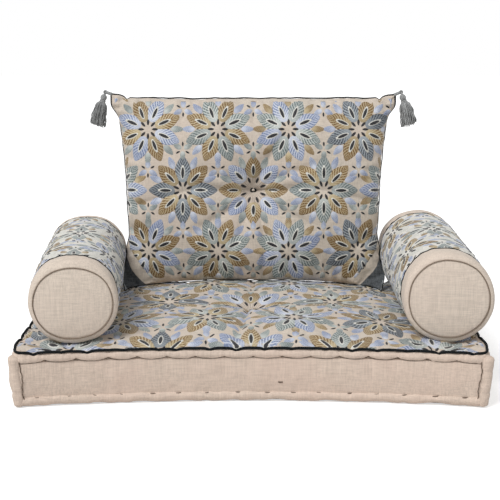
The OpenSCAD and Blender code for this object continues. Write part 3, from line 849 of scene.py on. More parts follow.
def make_seat_piping():
    line = []
    for place, side, share in edge_stations():
        drop = piping_drop(side, share)
        point = drawn_in(place(PIPING_OUT - 0.5 * drop)[0])
        line.append((point[0], point[1], PIPING_Z - drop + 0.0006 * wobble((*point, 0), 40)))
    piece = closed_cord("seat_piping_cord", line, PIPING_R, 10, (0, 0, 1), DARK)
    finished(piece, "seat_pad", ["seat_piping"], smoother=True)


CORNER_SIDES = 28
CORNER_ROWS = 34
CORNER_TOP = 0.1135
CORNER_BOTTOM = 0.0006
CORNER_END = 0.009
CORNER_LEAN = 0.006
CORNER_TIE, CORNER_TIE_REACH = 0.0022, 0.006
CORNER_CRUMPLE = (0.0014, 60)


def make_corner_roll(x, y, node, seed):
    """Upright stitched roll at a corner, pulled in where it is tied and round at both ends."""
    rng = random.Random(seed)
    ties = [0.34 + rng.uniform(-0.05, 0.05), 0.72 + rng.uniform(-0.04, 0.04)]
    rings = []
    for i in range(CORNER_ROWS + 1):
        s = i / CORNER_ROWS
        z = CORNER_BOTTOM + (CORNER_TOP - CORNER_BOTTOM) * s
        end = min(s, 1 - s) * CORNER_TOP
        roundness = math.sqrt(max(0.0, 1 - max(0.0, 1 - end / CORNER_END) ** 2))
        lean = CORNER_LEAN * (1 - s) ** 1.4
        cx, cy = x - math.copysign(lean, x), y - math.copysign(lean, y)
        ring = []
        for k in range(CORNER_SIDES):
            a = 2 * math.pi * k / CORNER_SIDES
            r = ROLL_R * (0.92 + 0.20 * smooth(1.6 * s)) * (0.35 + 0.65 * roundness)
            for tie in ties:
                r -= CORNER_TIE * math.exp(-abs(s - tie) * CORNER_TOP / CORNER_TIE_REACH)
            r += 0.0008 * math.sin(3 * a + 9 * s + seed) * (1 - abs(2 * s - 1))
            ring.append((cx + r * math.cos(a), cy + r * math.sin(a), z))
        rings.append(ring)
    work = Mesher()
    work.add_rings(rings)
    piece = work.build(node + "_cover", [LINEN])
    outward_faces(piece)
    crumple(piece, *CORNER_CRUMPLE, seed)
    finished(piece, "seat_pad", [node], smoother=True)


def make_corner_rolls():
    seed = 31
    for end, y in (("front", -LINE_D), ("rear", LINE_D)):
        for side, x in (("left", -LINE_W), ("right", LINE_W)):
            make_corner_roll(x, y, "seat_corner_roll_" + end + "_" + side, seed)
            seed += 1


# Length and radius of the threads at the upper stitches, at the lower ones, and of the one large thread
TOP_STITCH = (0.0040, 0.0017)
LOW_STITCH = (0.0130, 0.0008)
BIG_STITCH = (0.0100, 0.0013)
BIG_STITCH_SHARE = 0.132
BIG_STITCH_Z = 0.045


def add_stitch(work, side, share, z, out, length, r, tilt):
    """One thread that shows between two holes in the cloth, along the side."""
    line = []
    for s in (-1, -0.6, 0, 0.6, 1):
        point, normal = side_point(side, share + s * length / 2 / half_length(side), out)
        sunk = point + normal * (0.0006 - 0.0022 * s ** 4)
        line.append((sunk[0], sunk[1], z + s * tilt))
    work.add_tube(line, r, 6, (0, 0, 1))


# The seam beside each corner roll
CORNER_SEAM_LOW, CORNER_SEAM_RISE = 0.016, 0.086
CORNER_SEAM_BESIDE = 0.0125
CORNER_SEAM_PROUD = 0.0016
CORNER_SEAM_R = 0.0009


def corner_seam(x_sign, y_sign, along_x):
    """A seam line up the border beside a corner roll."""
    line = []
    for k in range(25):
        s = k / 24
        z = CORNER_SEAM_LOW + CORNER_SEAM_RISE * s
        bend = 0.0016 * math.sin(8 * s + x_sign + 2 * y_sign) + 0.0007 * math.sin(31 * s)
        beside = CORNER_SEAM_BESIDE + bend + tuck(z) * 0.6
        proud = BORDER_OUT + BORDER_SWELL * math.sin(math.pi * s) + CORNER_SEAM_PROUD - tuck(z)
        in_x, in_y = (-beside, proud) if along_x else (proud, -beside)
        line.append((x_sign * (LINE_W + in_x), y_sign * (LINE_D + in_y), z))
    return line


def make_stitches():
    """The visible threads at each dimple of the rolls, and the seams beside the corner rolls."""
    work = Mesher()
    rng = random.Random(77)
    # The threads at the dimples are painted dark: partly their own colour, partly painted shade in the
    # dimples.
    for roll, (length, r) in ((TOP_ROLL, TOP_STITCH), (LOW_ROLL, LOW_STITCH)):
        for side in range(4):
            for share, _ in roll[0][side]:
                z = crease_height(*roll, side, share)
                shown = length * rng.uniform(0.7, 1.2)
                add_stitch(work, side, share, z, BORDER_OUT + 0.0002 - tuck(z), shown, r,
                           rng.uniform(-0.0008, 0.0008))
    out = BORDER_OUT + BORDER_SWELL - tuck(BIG_STITCH_Z)
    add_stitch(work, 0, BIG_STITCH_SHARE, BIG_STITCH_Z, out, *BIG_STITCH, 0.0)
    # The seams beside the corner rolls, in the same dark thread: partly seam, partly painted shade along the
    # corner rolls' edge.
    for x_sign in (-1, 1):
        for y_sign in (-1, 1):
            for along_x in (True, False):
                work.add_tube(corner_seam(x_sign, y_sign, along_x), CORNER_SEAM_R, 6, (1, 1, 0))
    finished(work.build("seat_roll_stitches", [SEAM_THREAD_AND_SHADE]), "seat_pad")


# Bolsters

# Dents of the cloth, how the seam at each band sinks in, and how far the flattened ends reach and drop
DENT, FINE_DENT = 0.0030, 0.0009
SEAM_SINK, SEAM_GATHER, SEAM_REACH = 0.0021, 0.0007, 0.007
FLAT_REACH, FLAT_DROP = 0.036, 0.03


class Bolster:
    """One bolster's place and shape, from the seam cords at its two ends."""

    def __init__(self, side, size, squash, square, flat_end, band, seed):
        front, rear = (middle_of("bolster_%s_%s_cord" % (side, end)) for end in ("front", "rear"))
        self.side, self.size, self.squash, self.square, self.seed = side, size, squash, square, seed
        self.flat_end, self.band = flat_end, band
        self.along = (rear - front).normalized()
        self.across = Vector((self.along.y, -self.along.x, 0))
        self.start = front - self.along * CORD_INSET
        self.floor = self.start.z - BOLSTER_R

    def point(self, angle, r, z):
        """A point at an angle round the bolster, with the sag, dents and seams that its cloth has."""
        share = r / BOLSTER_R
        round_x, round_y = math.cos(angle), math.sin(angle)
        dent = DENT * wobble((round_x, round_y, z * 5), 1.1, self.seed)
        dent += FINE_DENT * wobble((round_x * 3, round_y * 3, z * 22), 1.3, self.seed + 5)
        for seam in (self.band, BOLSTER_L - self.band):
            gather = SEAM_GATHER * math.sin(23 * angle + 4 * math.sin(3 * angle + self.seed))
            dent -= (SEAM_SINK - gather) * math.exp(-((z - seam) / SEAM_REACH) ** 2)
        fuller = 1 + REAR_FULLNESS * max(0.0, z / BOLSTER_L)
        r = (r + dent * share ** 3) * self.size * (1 - self.square * math.cos(4 * angle) * share) * fuller
        place = self.start + self.along * z + self.across * (r * round_x * (1 + 0.30 * self.squash))
        sag = 1 - self.squash * (0.80 + 0.20 * math.cos(2 * math.pi * z / BOLSTER_L))
        end = self.flat_end * (1 - smooth(min(z, BOLSTER_L - z) / FLAT_REACH))
        middle = BOLSTER_R * self.size * (1 - self.square) * fuller - FLAT_DROP * end
        place.z = self.floor + (middle + r * round_y * (1 - end)) * sag
        return place

    def revolve(self, name, profile, nodes, material, closed=True, sides=96):
        """A piece of the cover, from a profile of radii and places along the axis."""
        turns = np.linspace(0, 2 * math.pi, sides, endpoint=False)
        rings = [[self.point(a, r, z) for a in turns] for r, z in profile]
        work = Mesher()
        work.add_rings(rings, loop=closed)
        piece = work.build(name, [material])
        outward_faces(piece)
        return finished(piece, "bolster_" + self.side, nodes, smoother=True)

    def ring(self, name, nodes, r, z, thickness, material, slot):
        """A cord or seam thread laid round the bolster."""
        turns = np.linspace(0, 2 * math.pi, 120, endpoint=False)
        line = [self.point(a, r, z) for a in turns]
        piece = closed_cord(name, line, thickness, 8, tuple(self.along), material)
        return finished(piece, "bolster_" + self.side, nodes)


def rim_profile(inset):
    """From the disc's seam over the rounded rim to where the straight part starts."""
    rim = BOLSTER_R - DISC_R
    return [
        (DISC_R + (rim - inset) * math.sin(a), DISC_DOME + rim - (rim - inset) * math.cos(a))
        for a in np.linspace(0, math.pi / 2, 7)
    ]


def at_end(profile, rear):
    return [(r, BOLSTER_L - z) for r, z in profile] if rear else profile


DISC_GAP = 0.0004
DISC_SEAM_R = 0.0010
BAND_SEAM_R = 0.0011


def make_bolster(**settings):
    """One bolster. Gives it with its sleeve."""
    bolster = Bolster(**settings)
    side, band = "bolster_" + bolster.side, bolster.band
    rows = np.linspace(band, BOLSTER_L - band, 62)
    outer = [(BOLSTER_R, z) for z in rows]
    inner = [(BOLSTER_R - SHELL, z) for z in rows[::-1]]
    # The sleeve's paler cloth carries painted highlight as well as its own tone.
    sleeve = bolster.revolve(side + "_sleeve_cover", outer + inner, [side + "_sleeve", side + "_filling"],
                             SLEEVE_CLOTH_AND_HIGHLIGHT)
    for end in ("front", "rear"):
        rear, name = end == "rear", side + "_" + end + "_"
        straight = [(BOLSTER_R, z) for z in np.linspace(DISC_DOME + BOLSTER_R - DISC_R, band, 9)[1:]]
        back = [(BOLSTER_R - SHELL, z) for _, z in straight[::-1]] + rim_profile(SHELL)[::-1]
        bolster.revolve(name + "band_cover", at_end(rim_profile(0) + straight + back, rear),
                        [name + "band"], DISC_LINEN)
        shares = np.linspace(0.004, 1, 16)
        dome = [(DISC_R * s, DISC_DOME * s ** 2.6 + DISC_GAP) for s in shares]
        lining = [(DISC_R * s, DISC_DOME * s ** 2.6 + SHELL) for s in shares[::-1]]
        bolster.revolve(name + "disc_cover", at_end(dome + lining, rear), [name + "disc"], DISC_LINEN,
                        closed=False)
        z = at_end([(0, DISC_DOME - 0.0006)], rear)[0][1]
        # The disc seam's cord carries painted shade along the seam as well as its own colour.
        bolster.ring(name + "disc_seam", [name + "cord"], DISC_R + DISC_GAP, z, DISC_SEAM_R, PALE_SEAM_AND_SHADE,
                     "plain_linen")
        z = at_end([(0, band)], rear)[0][1]
        bolster.ring(name + "band_seam", [], BOLSTER_R + 0.0010, z, BAND_SEAM_R, DARK, "dark_piping")
    return bolster, sleeve


# Back cushion

BACK_MIDDLE = middle_of("back_tuft_twine")


def seat_flat_limits(x, y):
    """Shares across and along the seat's top for a point, from -1 to 1."""
    u = x / (LINE_W - SIDE_BOW * (1 - (y / LINE_D) ** 2))
    v = y / (LINE_D - FRONT_BOW * (1 - (x / LINE_W) ** 2))
    return max(-1.0, min(1.0, u)), max(-1.0, min(1.0, v))


def seat_rise(u, v):
    return SEAT_CROWN * max(0.0, 1 - u * u) ** 1.5 * max(0.0, 1 - v * v) ** 0.5


def seat_top(x, y):
    """Height of the seat's top before its creases."""
    u, v = seat_flat_limits(x, y)
    return SEAT_EDGE_Z + seat_rise(u, v) - SEAT_TUFT_DEPTH * math.exp(-(x * x + y * y) / SEAT_TUFT_REACH ** 2)


# The upper edge beside each ear is caught in at one place and full at the next: place, height and reach
EAR_PINCH_X, EAR_PINCH, EAR_PINCH_REACH = 0.313, 0.0065, 0.0050
EAR_LOBE_X, EAR_LOBE, EAR_LOBE_REACH = 0.333, 0.0020, 0.0100
TOP_WAVE = 0.0024


def back_outline(u, v):
    """A point of the cushion's flat outline at shares u and v."""
    end = BACK_EAR_HALF_W if v > 0 else BACK_FOOT_HALF_W
    x = u * (BACK_MID_HALF_W + (end - BACK_MID_HALF_W) * abs(v) ** EAR_POWER)
    x += u ** 9 * EAR_FULLNESS * math.exp(-((v - 0.88) / 0.08) ** 2)
    z = v * (BACK_HALF_H + EAR_RISE * abs(u) ** EAR_RISE_POWER)
    top = max(0.0, v) ** 12
    z -= EAR_PINCH * top * math.exp(-((abs(x) - EAR_PINCH_X) / EAR_PINCH_REACH) ** 2)
    z += EAR_LOBE * top * math.exp(-((abs(x) - EAR_LOBE_X) / EAR_LOBE_REACH) ** 2)
    z += TOP_WAVE * top * wobble((x, 0, 0), 20, 9.0)
    return x, z


def back_placed(x, y, z):
    """From the cushion's own frame to the seat's."""
    c, s = math.cos(BACK_LEAN), math.sin(BACK_LEAN)
    return Vector((BACK_MIDDLE.x + x, BACK_MIDDLE.y + y * c + z * s, BACK_MIDDLE.z - y * s + z * c))


BACK_THROUGH = back_placed(0, 1, 0) - back_placed(0, 0, 0)
BACK_UP = back_placed(0, 0, 1) - back_placed(0, 0, 0)


def groove(x, z, line, width):
    """Nearness to a line of points, 1 on it and fading to 0 beside it and towards its end."""
    best = 0.0
    total = sum(math.dist(a, b) for a, b in zip(line, line[1:]))
    done = 0.0
    for a, b in zip(line, line[1:]):
        length = math.dist(a, b)
        dx, dz = (b[0] - a[0]) / length, (b[1] - a[1]) / length
        s = max(0.0, min(length, (x - a[0]) * dx + (z - a[1]) * dz))
        d = math.hypot(x - a[0] - s * dx, z - a[1] - s * dz)
        fade = 1 - 0.75 * (done + s) / total
        best = max(best, fade * math.exp(-(d / width) ** 1.3))
        done += length
    return best


def deepest(creases, x, z):
    return max(depth * groove(x, z, line, width) for line, depth, width in creases)


# Creases of the cushions: points in each one's own plane, depth and width
BACK_CREASES = [
    ([(-0.008, 0.000), (-0.060, -0.003), (-0.130, 0.006), (-0.220, -0.016), (-0.300, -0.040)],
     0.0180, 0.0090),
    ([(0.008, 0.000), (0.060, -0.003), (0.120, 0.008), (0.210, -0.006), (0.300, -0.030)], 0.0180, 0.0090),
    ([(-0.008, 0.004), (-0.070, 0.034), (-0.150, 0.050)], 0.0095, 0.0080),
    ([(0.008, 0.004), (0.070, 0.036), (0.160, 0.060)], 0.0095, 0.0080),
    ([(-0.006, -0.006), (-0.060, -0.050), (-0.130, -0.090)], 0.0100, 0.0080),
    ([(0.007, -0.006), (0.065, -0.048), (0.140, -0.080)], 0.0100, 0.0080),
    ([(0.002, -0.010), (0.022, -0.080), (0.030, -0.150)], 0.0100, 0.0080),
    ([(-0.004, 0.010), (-0.030, 0.070), (-0.060, 0.130)], 0.0080, 0.0080),
    ([(0.004, 0.010), (0.036, 0.075), (0.070, 0.130)], 0.0080, 0.0080),
    ([(-0.003, -0.010), (-0.024, -0.080), (-0.060, -0.160)], 0.0060, 0.0080),
    ([(0.026, -0.222), (0.022, -0.160)], 0.0080, 0.0075),
    ([(-0.313, 0.232), (-0.330, 0.190)], 0.0065, 0.0065),
    ([(0.313, 0.232), (0.330, 0.190)], 0.0065, 0.0065),
    ([(-0.313, 0.232), (-0.280, 0.170)], 0.0050, 0.0075),
    ([(0.313, 0.232), (0.280, 0.170)], 0.0050, 0.0075),
    ([(-0.308, -0.090), (-0.250, -0.120)], 0.0070, 0.0075),
    ([(0.310, -0.095), (0.255, -0.130), (0.230, -0.170)], 0.0080, 0.0075),
]
SEAT_CREASES = [
    ([(0.000, -0.010), (-0.010, -0.120), (-0.031, -0.300)], 0.0100, 0.0100),
    ([(-0.010, 0.000), (-0.160, -0.012), (-0.300, 0.010), (-0.440, 0.000)], 0.0120, 0.0110),
    ([(0.010, 0.000), (0.160, -0.008), (0.300, 0.012), (0.440, -0.020)], 0.0120, 0.0110),
    ([(-0.010, -0.006), (-0.100, -0.070), (-0.230, -0.180)], 0.0085, 0.0100),
    ([(0.010, -0.006), (0.090, -0.080), (0.200, -0.200)], 0.0085, 0.0100),
    ([(-0.004, -0.010), (-0.060, -0.120), (-0.120, -0.260)], 0.0060, 0.0100),
    ([(0.004, -0.010), (0.060, -0.130), (0.100, -0.250)], 0.0060, 0.0100),
    ([(0.000, 0.010), (0.000, 0.120), (0.010, 0.280)], 0.0060, 0.0110),
    ([(0.380, 0.060), (0.330, 0.000), (0.350, -0.080), (0.300, -0.160)], 0.0075, 0.0110),
    ([(-0.360, 0.060), (-0.320, -0.020), (-0.340, -0.110)], 0.0065, 0.0110),
]


def pit(x, z):
    """The steeper hollow right at a tuft."""
    return PIT_DEPTH * math.exp(-(x * x + z * z) / PIT_REACH ** 2)


def pleats(x, z, seed):
    """Fine folds that spread from a tuft, from -1 to 1, fading out."""
    d = math.hypot(x, z)
    angle = math.atan2(z, x)
    wave = math.sin(11 * angle + 2.2 * math.sin(2 * angle + seed)) + 0.6 * math.sin(19 * angle + seed)
    return 0.62 * wave * math.exp(-d / 0.030) * min(1.0, d / 0.008)


def spread(count, bias=0.6):
    """Shares from -1 to 1, closer together towards both ends."""
    w = np.linspace(-1, 1, count)
    return bias * np.sin(w * math.pi / 2) + (1 - bias) * w


BACK_U = spread(145, 0.5)
BACK_V = spread(107, 0.5)
# At the sides: how far the seam lies behind, how full the front cloth is, and how far the seam is tucked in
SIDE_WRAP = 0.019
SIDE_BULGE = 0.0046
SIDE_TUCK, SIDE_TUCK_REACH = 0.0095, 0.022
REAR_RISE = 0.0080
# The lower corners: how far they bend forward and splay out
FOOT_FORWARD = 0.095
FOOT_SPLAY = 0.024
BACK_PLEAT, SEAT_PLEAT = 0.0062, 0.0058
EDGE_PUCKER, EDGE_PUCKER_REACH = 0.0024, 0.024
BACK_UNEVEN, SEAT_UNEVEN = 0.0030, 0.0028


def back_shape(u, v, face):
    """A point of the cushion in its own frame. face is -1 in front and 1 behind."""
    x, z = back_outline(u, v)
    near = (1 - u * u) * (1 - v * v)
    swell = math.sqrt(max(0.0, 1 - u * u)) * math.sqrt(max(0.0, 1 - v * v))
    half = BACK_EDGE_HALF_T + (BACK_HALF_T - BACK_EDGE_HALF_T) * swell * (1 - 0.06 * v)
    half -= BACK_TUFT_DEPTH * math.exp(-(x * x + z * z) / BACK_TUFT_REACH ** 2) * near
    half -= pit(x, z)
    half += BACK_PLEAT * pleats(x, z, face) * min(1.0, 3 * near)
    if face < 0:
        half -= deepest(BACK_CREASES, x, z) * min(1.0, 7 * near)
    from_side, from_end = (1 - abs(u)) * BACK_MID_HALF_W, (1 - abs(v)) * BACK_HALF_H
    edge = min(from_side, from_end)
    along = z if from_side < from_end else x
    fade = math.exp(-edge / EDGE_PUCKER_REACH)
    pucker = math.sin(along * 175 + 3 * math.sin(along * 37 + face)) * fade * min(1, edge / 0.006)
    half += EDGE_PUCKER * pucker
    half += BACK_UNEVEN * wobble((x, z, face), 13, 2.0) * near
    y = face * half
    # Along its sides the seam lies behind, and the front cloth comes round to it
    wrap = smooth((0.90 - v) / 0.16)
    y += SIDE_WRAP * wrap * smooth((abs(u) - 0.86) / 0.14)
    beside = 1 - abs(u)
    x -= math.copysign(SIDE_TUCK * wrap * math.exp(-(beside / SIDE_TUCK_REACH) ** 2), u)
    if face < 0:
        x += math.copysign(SIDE_BULGE * wrap * math.sqrt(hump(beside / 0.16)), u)
    else:
        lively = 0.55 + 0.45 * wobble((x, 0, 0), 17, 3.0) + 0.5 * abs(u) ** 12
        z += REAR_RISE * hump((1 - v) / 0.07) * min(1.0, lively)
    # The lower corners bend forward on to the seat
    foot = max(0.0, (-v - 0.45) / 0.55)
    y -= FOOT_FORWARD * foot ** 3 * abs(u) ** 12
    x += math.copysign(FOOT_SPLAY * hump(0.8 * foot ** 1.3) * abs(u) ** 5, u)
    return x, y, z


FOOT_GAP = 0.0012


def settle_foot(points):
    """Lets the cushion's lower edge sink on to the seat: each column follows the seat under it."""
    low = points[:, :, 2].argmin(1)
    for i in range(points.shape[0]):
        j = low[i]
        x, y, z = points[i, j]
        drop = z - (seat_top(x, y) + PIPING_R + FOOT_GAP)
        for k in range(points.shape[1]):
            points[i, k, 2] -= drop * smooth((-BACK_V[k] - 0.25) / 0.75)


def pillow(name, upper, lower, flat, materials):
    """A closed form from two grids of points that share their edge.

    flat holds each point's place from the tuft, for the pleats."""
    rows, cols = upper.shape[:2]
    inside = np.s_[1:-1, 1:-1]
    top = np.arange(rows * cols).reshape(rows, cols)
    bottom = top.copy()
    bottom[inside] = np.arange((rows - 2) * (cols - 2)).reshape(rows - 2, cols - 2) + rows * cols
    work = Mesher()
    for table, turn, look in ((top, 1, 0), (bottom, -1, len(materials) - 1)):
        for i in range(rows - 1):
            for j in range(cols - 1):
                quad = [table[i, j], table[i + 1, j], table[i + 1, j + 1], table[i, j + 1]]
                work.faces.append(quad[::turn])
                work.looks.append(look)
    work.points = [tuple(p) for grid in (upper, lower[inside]) for p in grid.reshape(-1, 3)]
    work.marks = [tuple(p) for grid in (flat, flat[inside]) for p in grid.reshape(-1, 3)]
    piece = work.build(name, materials)
    outward_faces(piece)
    return piece


# The cloth simulation: pressure, spare cloth, frames, and the broadest and longest folds that are kept
PRESSURE = 3.0
SLACK = 0.035
FRAMES = 20
FOLD_REACH = 6
FOLD_CAP = 0.006
# Points this near to a tuft don't move
TUFT_HELD = 0.010


def inflate(piece, held):
    """Swells a closed piece as stuffed cloth, with the held points fixed. Gives how far each point moved."""
    start = places(piece)
    group = piece.vertex_groups.new(name="held")
    group.add([int(i) for i in held], 1.0, "REPLACE")
    modifier = piece.modifiers.new("cloth", "CLOTH")
    cloth = modifier.settings
    cloth.quality = 5
    cloth.mass = 0.25
    cloth.tension_stiffness = 18
    cloth.compression_stiffness = 12
    cloth.shear_stiffness = 6
    cloth.bending_stiffness = 0.25
    cloth.vertex_group_mass = "held"
    cloth.use_pressure = True
    cloth.uniform_pressure_force = PRESSURE
    cloth.shrink_min = -SLACK
    cloth.effector_weights.gravity = 0
    modifier.collision_settings.use_collision = False
    modifier.point_cache.frame_start = 1
    modifier.point_cache.frame_end = FRAMES
    for number in range(1, FRAMES + 1):
        scene.frame_set(number)
    shown = piece.evaluated_get(bpy.context.evaluated_depsgraph_get())
    swollen = np.zeros(len(start) * 3, np.float32)
    shown.data.vertices.foreach_get("co", swollen)
    piece.modifiers.remove(modifier)
    piece.vertex_groups.clear()
    scene.frame_set(1)
    return swollen.reshape(-1, 3).astype(float) - start


def blurred(grid, reach):
    """The grid with each point averaged over its neighbours, in a bell curve of the given reach in cells."""
    steps = np.arange(-3 * reach, 3 * reach + 1)
    weights = np.exp(-0.5 * (steps / reach) ** 2)
    weights /= weights.sum()
    for axis in (0, 1):
        wide = [(0, 0)] * 3
        wide[axis] = (3 * reach, 3 * reach)
        padded = np.pad(grid, wide, mode="edge")
        size = grid.shape[axis]
        grid = sum(w * np.take(padded, range(k, k + size), axis) for k, w in enumerate(weights))
    return grid


def add_folds(piece, shape, held):
    """Adds the folds of the swollen cloth, less its broad swelling, which the form has already."""
    rows, cols = shape
    move = inflate(piece, held)
    count = rows * cols
    upper = move[:count].reshape(rows, cols, 3)
    lower = upper.copy()
    lower[1:-1, 1:-1] = move[count:].reshape(rows - 2, cols - 2, 3)
    i, j = np.arange(rows)[:, None], np.arange(cols)[None, :]
    from_edge = np.minimum(np.minimum(i, rows - 1 - i), np.minimum(j, cols - 1 - j))
    inner = np.clip(from_edge / (1.5 * FOLD_REACH), 0, 1)[:, :, None]
    upper = upper - inner * blurred(upper, FOLD_REACH)
    lower = lower - inner * blurred(lower, FOLD_REACH)
    move = np.concatenate([upper.reshape(-1, 3), lower[1:-1, 1:-1].reshape(-1, 3)])
    length = np.linalg.norm(move, axis=1)
    move *= (np.minimum(length, FOLD_CAP) / np.maximum(length, 1e-9))[:, None]
    set_places(piece, places(piece) + move)


def on_edge(rows, cols):
    """Which points of a grid lie on its edge."""
    edge = np.ones((rows, cols), bool)
    edge[1:-1, 1:-1] = False
    return edge


BESIDE_GAP = 0.0020


def keep_between_bolsters(piece, trees):
    """Draws the cushion's sides in where a bolster lies beside them."""
    points = places(piece)
    for i, p in enumerate(points):
        sign = 1 if p[0] > BACK_MIDDLE.x else -1
        for tree in trees:
            hit, _, _, _ = tree.ray_cast(Vector((BACK_MIDDLE.x, p[1], p[2])), Vector((sign, 0, 0)))
            if hit is not None and sign * (p[0] - hit.x) > -BESIDE_GAP:
                points[i][0] = hit.x - sign * BESIDE_GAP
    set_places(piece, points)


def make_back(beside):
    """The back cushion. Gives it with the line of its seam."""
    rows, cols = len(BACK_U), len(BACK_V)
    front, rear, flat = np.zeros((3, rows, cols, 3))
    for i, u in enumerate(BACK_U):
        for j, v in enumerate(BACK_V):
            front[i, j] = back_placed(*back_shape(u, v, -1))
            rear[i, j] = back_placed(*back_shape(u, v, 1))
            flat[i, j, :2] = back_outline(u, v)
    edge = on_edge(rows, cols)
    front[edge] = rear[edge] = ((front + rear) / 2)[edge]
    settle_foot(front)
    settle_foot(rear)
    rear[edge] = front[edge]
    piece = pillow("back_cushion_cover", front, rear, flat, [BACK_CLOTH_AND_SHADE, GREY])
    keep_between_bolsters(piece, beside)
    sunk = BACK_HALF_T - BACK_TUFT_DEPTH - PIT_DEPTH
    tufts = [back_placed(0, face * sunk, 0) for face in (-1, 1)]
    near = [i for i, p in enumerate(places(piece))
            if min((Vector(p) - tuft).length for tuft in tufts) < TUFT_HELD]
    add_folds(piece, (rows, cols), list(np.flatnonzero(edge)) + near)
    finished(piece, "back_cushion",
             ["back_filling", "back_front_cover", "back_rear_cover"], smoother=True)
    number = np.arange(rows * cols).reshape(rows, cols)
    seam = np.concatenate([number[0], number[1:, -1], number[-1, -2::-1], number[-2:0:-1, 0]])
    return piece, places(piece)[seam]


# The piping is thicker along the upper edge, and most round the ears
BACK_PIPING_R, TOP_PIPING_MORE, EAR_PIPING_MORE = 0.0013, 0.0006, 0.0008


def make_back_piping(seam):
    """Thin dark piping round the cushion's edge, slightly wavy, thicker round the ears."""
    middle = seam.mean(0)
    line, radii = [], []
    for i, p in enumerate(seam):
        x, _, z = p - middle
        outward = np.array([x, 0, z]) / math.hypot(x, z)
        ear = smooth((z - 0.195) / 0.02) * smooth((abs(x) - 0.312) / 0.010)
        wave = 0.0005 * math.sin(i * 0.9 + 2 * math.sin(i * 0.23)) + 0.0006 * wobble(p, 30, 4)
        line.append(p + outward * (0.0002 + wave * (1 - ear)) + np.array([0, 0.0006 * wobble(p, 35, 8), 0]))
        radii.append(BACK_PIPING_R + TOP_PIPING_MORE * smooth((z - 0.190) / 0.02) + EAR_PIPING_MORE * ear)
    piece = closed_cord("back_piping_cord", line, radii, 8, tuple(BACK_THROUGH), DARK)
    finished(piece, "back_cushion", ["back_piping"], smoother=True)


# Seat pad's cushion

SEAT_U = spread(167, 0.40)
SEAT_V = spread(121, 0.50)
PANEL_OUT = 0.0080
NOTCH_FADE = 0.030
# The underside: its size as shares of the top's, and its height
UNDER_SHARES = (0.955, 0.94)
UNDER_Z = 0.0010
CONTACT_GAP = 0.0005
CONTACT_REACH = 0.012
CONTACT_FROM = 0.05


def seat_point(u, v):
    """A point of the embroidered top, with its creases, pleats and notches."""
    half_w, half_d = LINE_W + PANEL_OUT, LINE_D + PANEL_OUT
    x, y = drawn_in((u * (half_w - SIDE_BOW * (1 - v * v)), v * (half_d - FRONT_BOW * (1 - u * u))))
    inner = (1 - u ** 8) * (1 - v ** 8)
    z = seat_top(x, y) - deepest(SEAT_CREASES, x, y) * inner
    z += SEAT_PLEAT * pleats(x, y, 3.0) - pit(x, y)
    z += SEAT_UNEVEN * wobble((x, y, 0), 11, 6.0) * inner
    gaps = ((1 + v) * half_d, (1 - u) * half_w, (1 - v) * half_d, (1 + u) * half_w)
    for side, (share, gap) in enumerate(zip((u, v, -u, -v), gaps)):
        z -= piping_drop(side, share) * math.exp(-gap / NOTCH_FADE)
    return x, y, z


def press_in(points, resting):
    """Presses the top in where other pieces lie on it, and lets it rise to them close by."""
    for point in points:
        start = Vector((point[0], point[1], CONTACT_FROM))
        hits = [tree.ray_cast(start, Vector((0, 0, 1)))[0] for tree in resting]
        lowest = min((hit.z for hit in hits if hit is not None), default=math.inf)
        gap = lowest - CONTACT_GAP - point[2]
        if gap < 0:
            point[2] += gap
        elif gap < CONTACT_REACH:
            point[2] += gap * (1 - gap / CONTACT_REACH) ** 2


def make_seat(resting):
    """The pad itself: embroidered top and plain underside, pressed in where the other pieces lie."""
    rows, cols = len(SEAT_U), len(SEAT_V)
    upper = np.array([[seat_point(u, v) for v in SEAT_V] for u in SEAT_U])
    lower = upper * (*UNDER_SHARES, 0)
    lower[:, :, 2] = UNDER_Z
    piece = pillow("seat_cushion_cover", upper, lower, upper * (1, 1, 0), [TUFTED_AND_SHADED, LINEN])
    count = rows * cols
    near = np.flatnonzero(np.hypot(upper[:, :, 0], upper[:, :, 1]) < TUFT_HELD)
    under = range(count, len(piece.data.vertices))
    add_folds(piece, (rows, cols), [*np.flatnonzero(on_edge(rows, cols)), *near, *under])
    points = places(piece)
    press_in(points[:count], resting)
    set_places(piece, points)
    finished(piece, "seat_pad",
             ["seat_filling", "seat_top_cover", "seat_bottom_cover"], smoother=True)
    return piece


# Embroidery

# Heights over the cloth: a leaf, the pale spindle on it, the dark bud on that, and the rise of each pad
LEAF_LIFT, PALE_LIFT, BUD_LIFT = 0.0006, 0.0010, 0.0016
LEAF_PAD = 0.0005


def stepped(a, b, angle, distance):
    """The place at a distance from a, b in the direction of the angle."""
    return a + distance * math.cos(angle), b + distance * math.sin(angle)


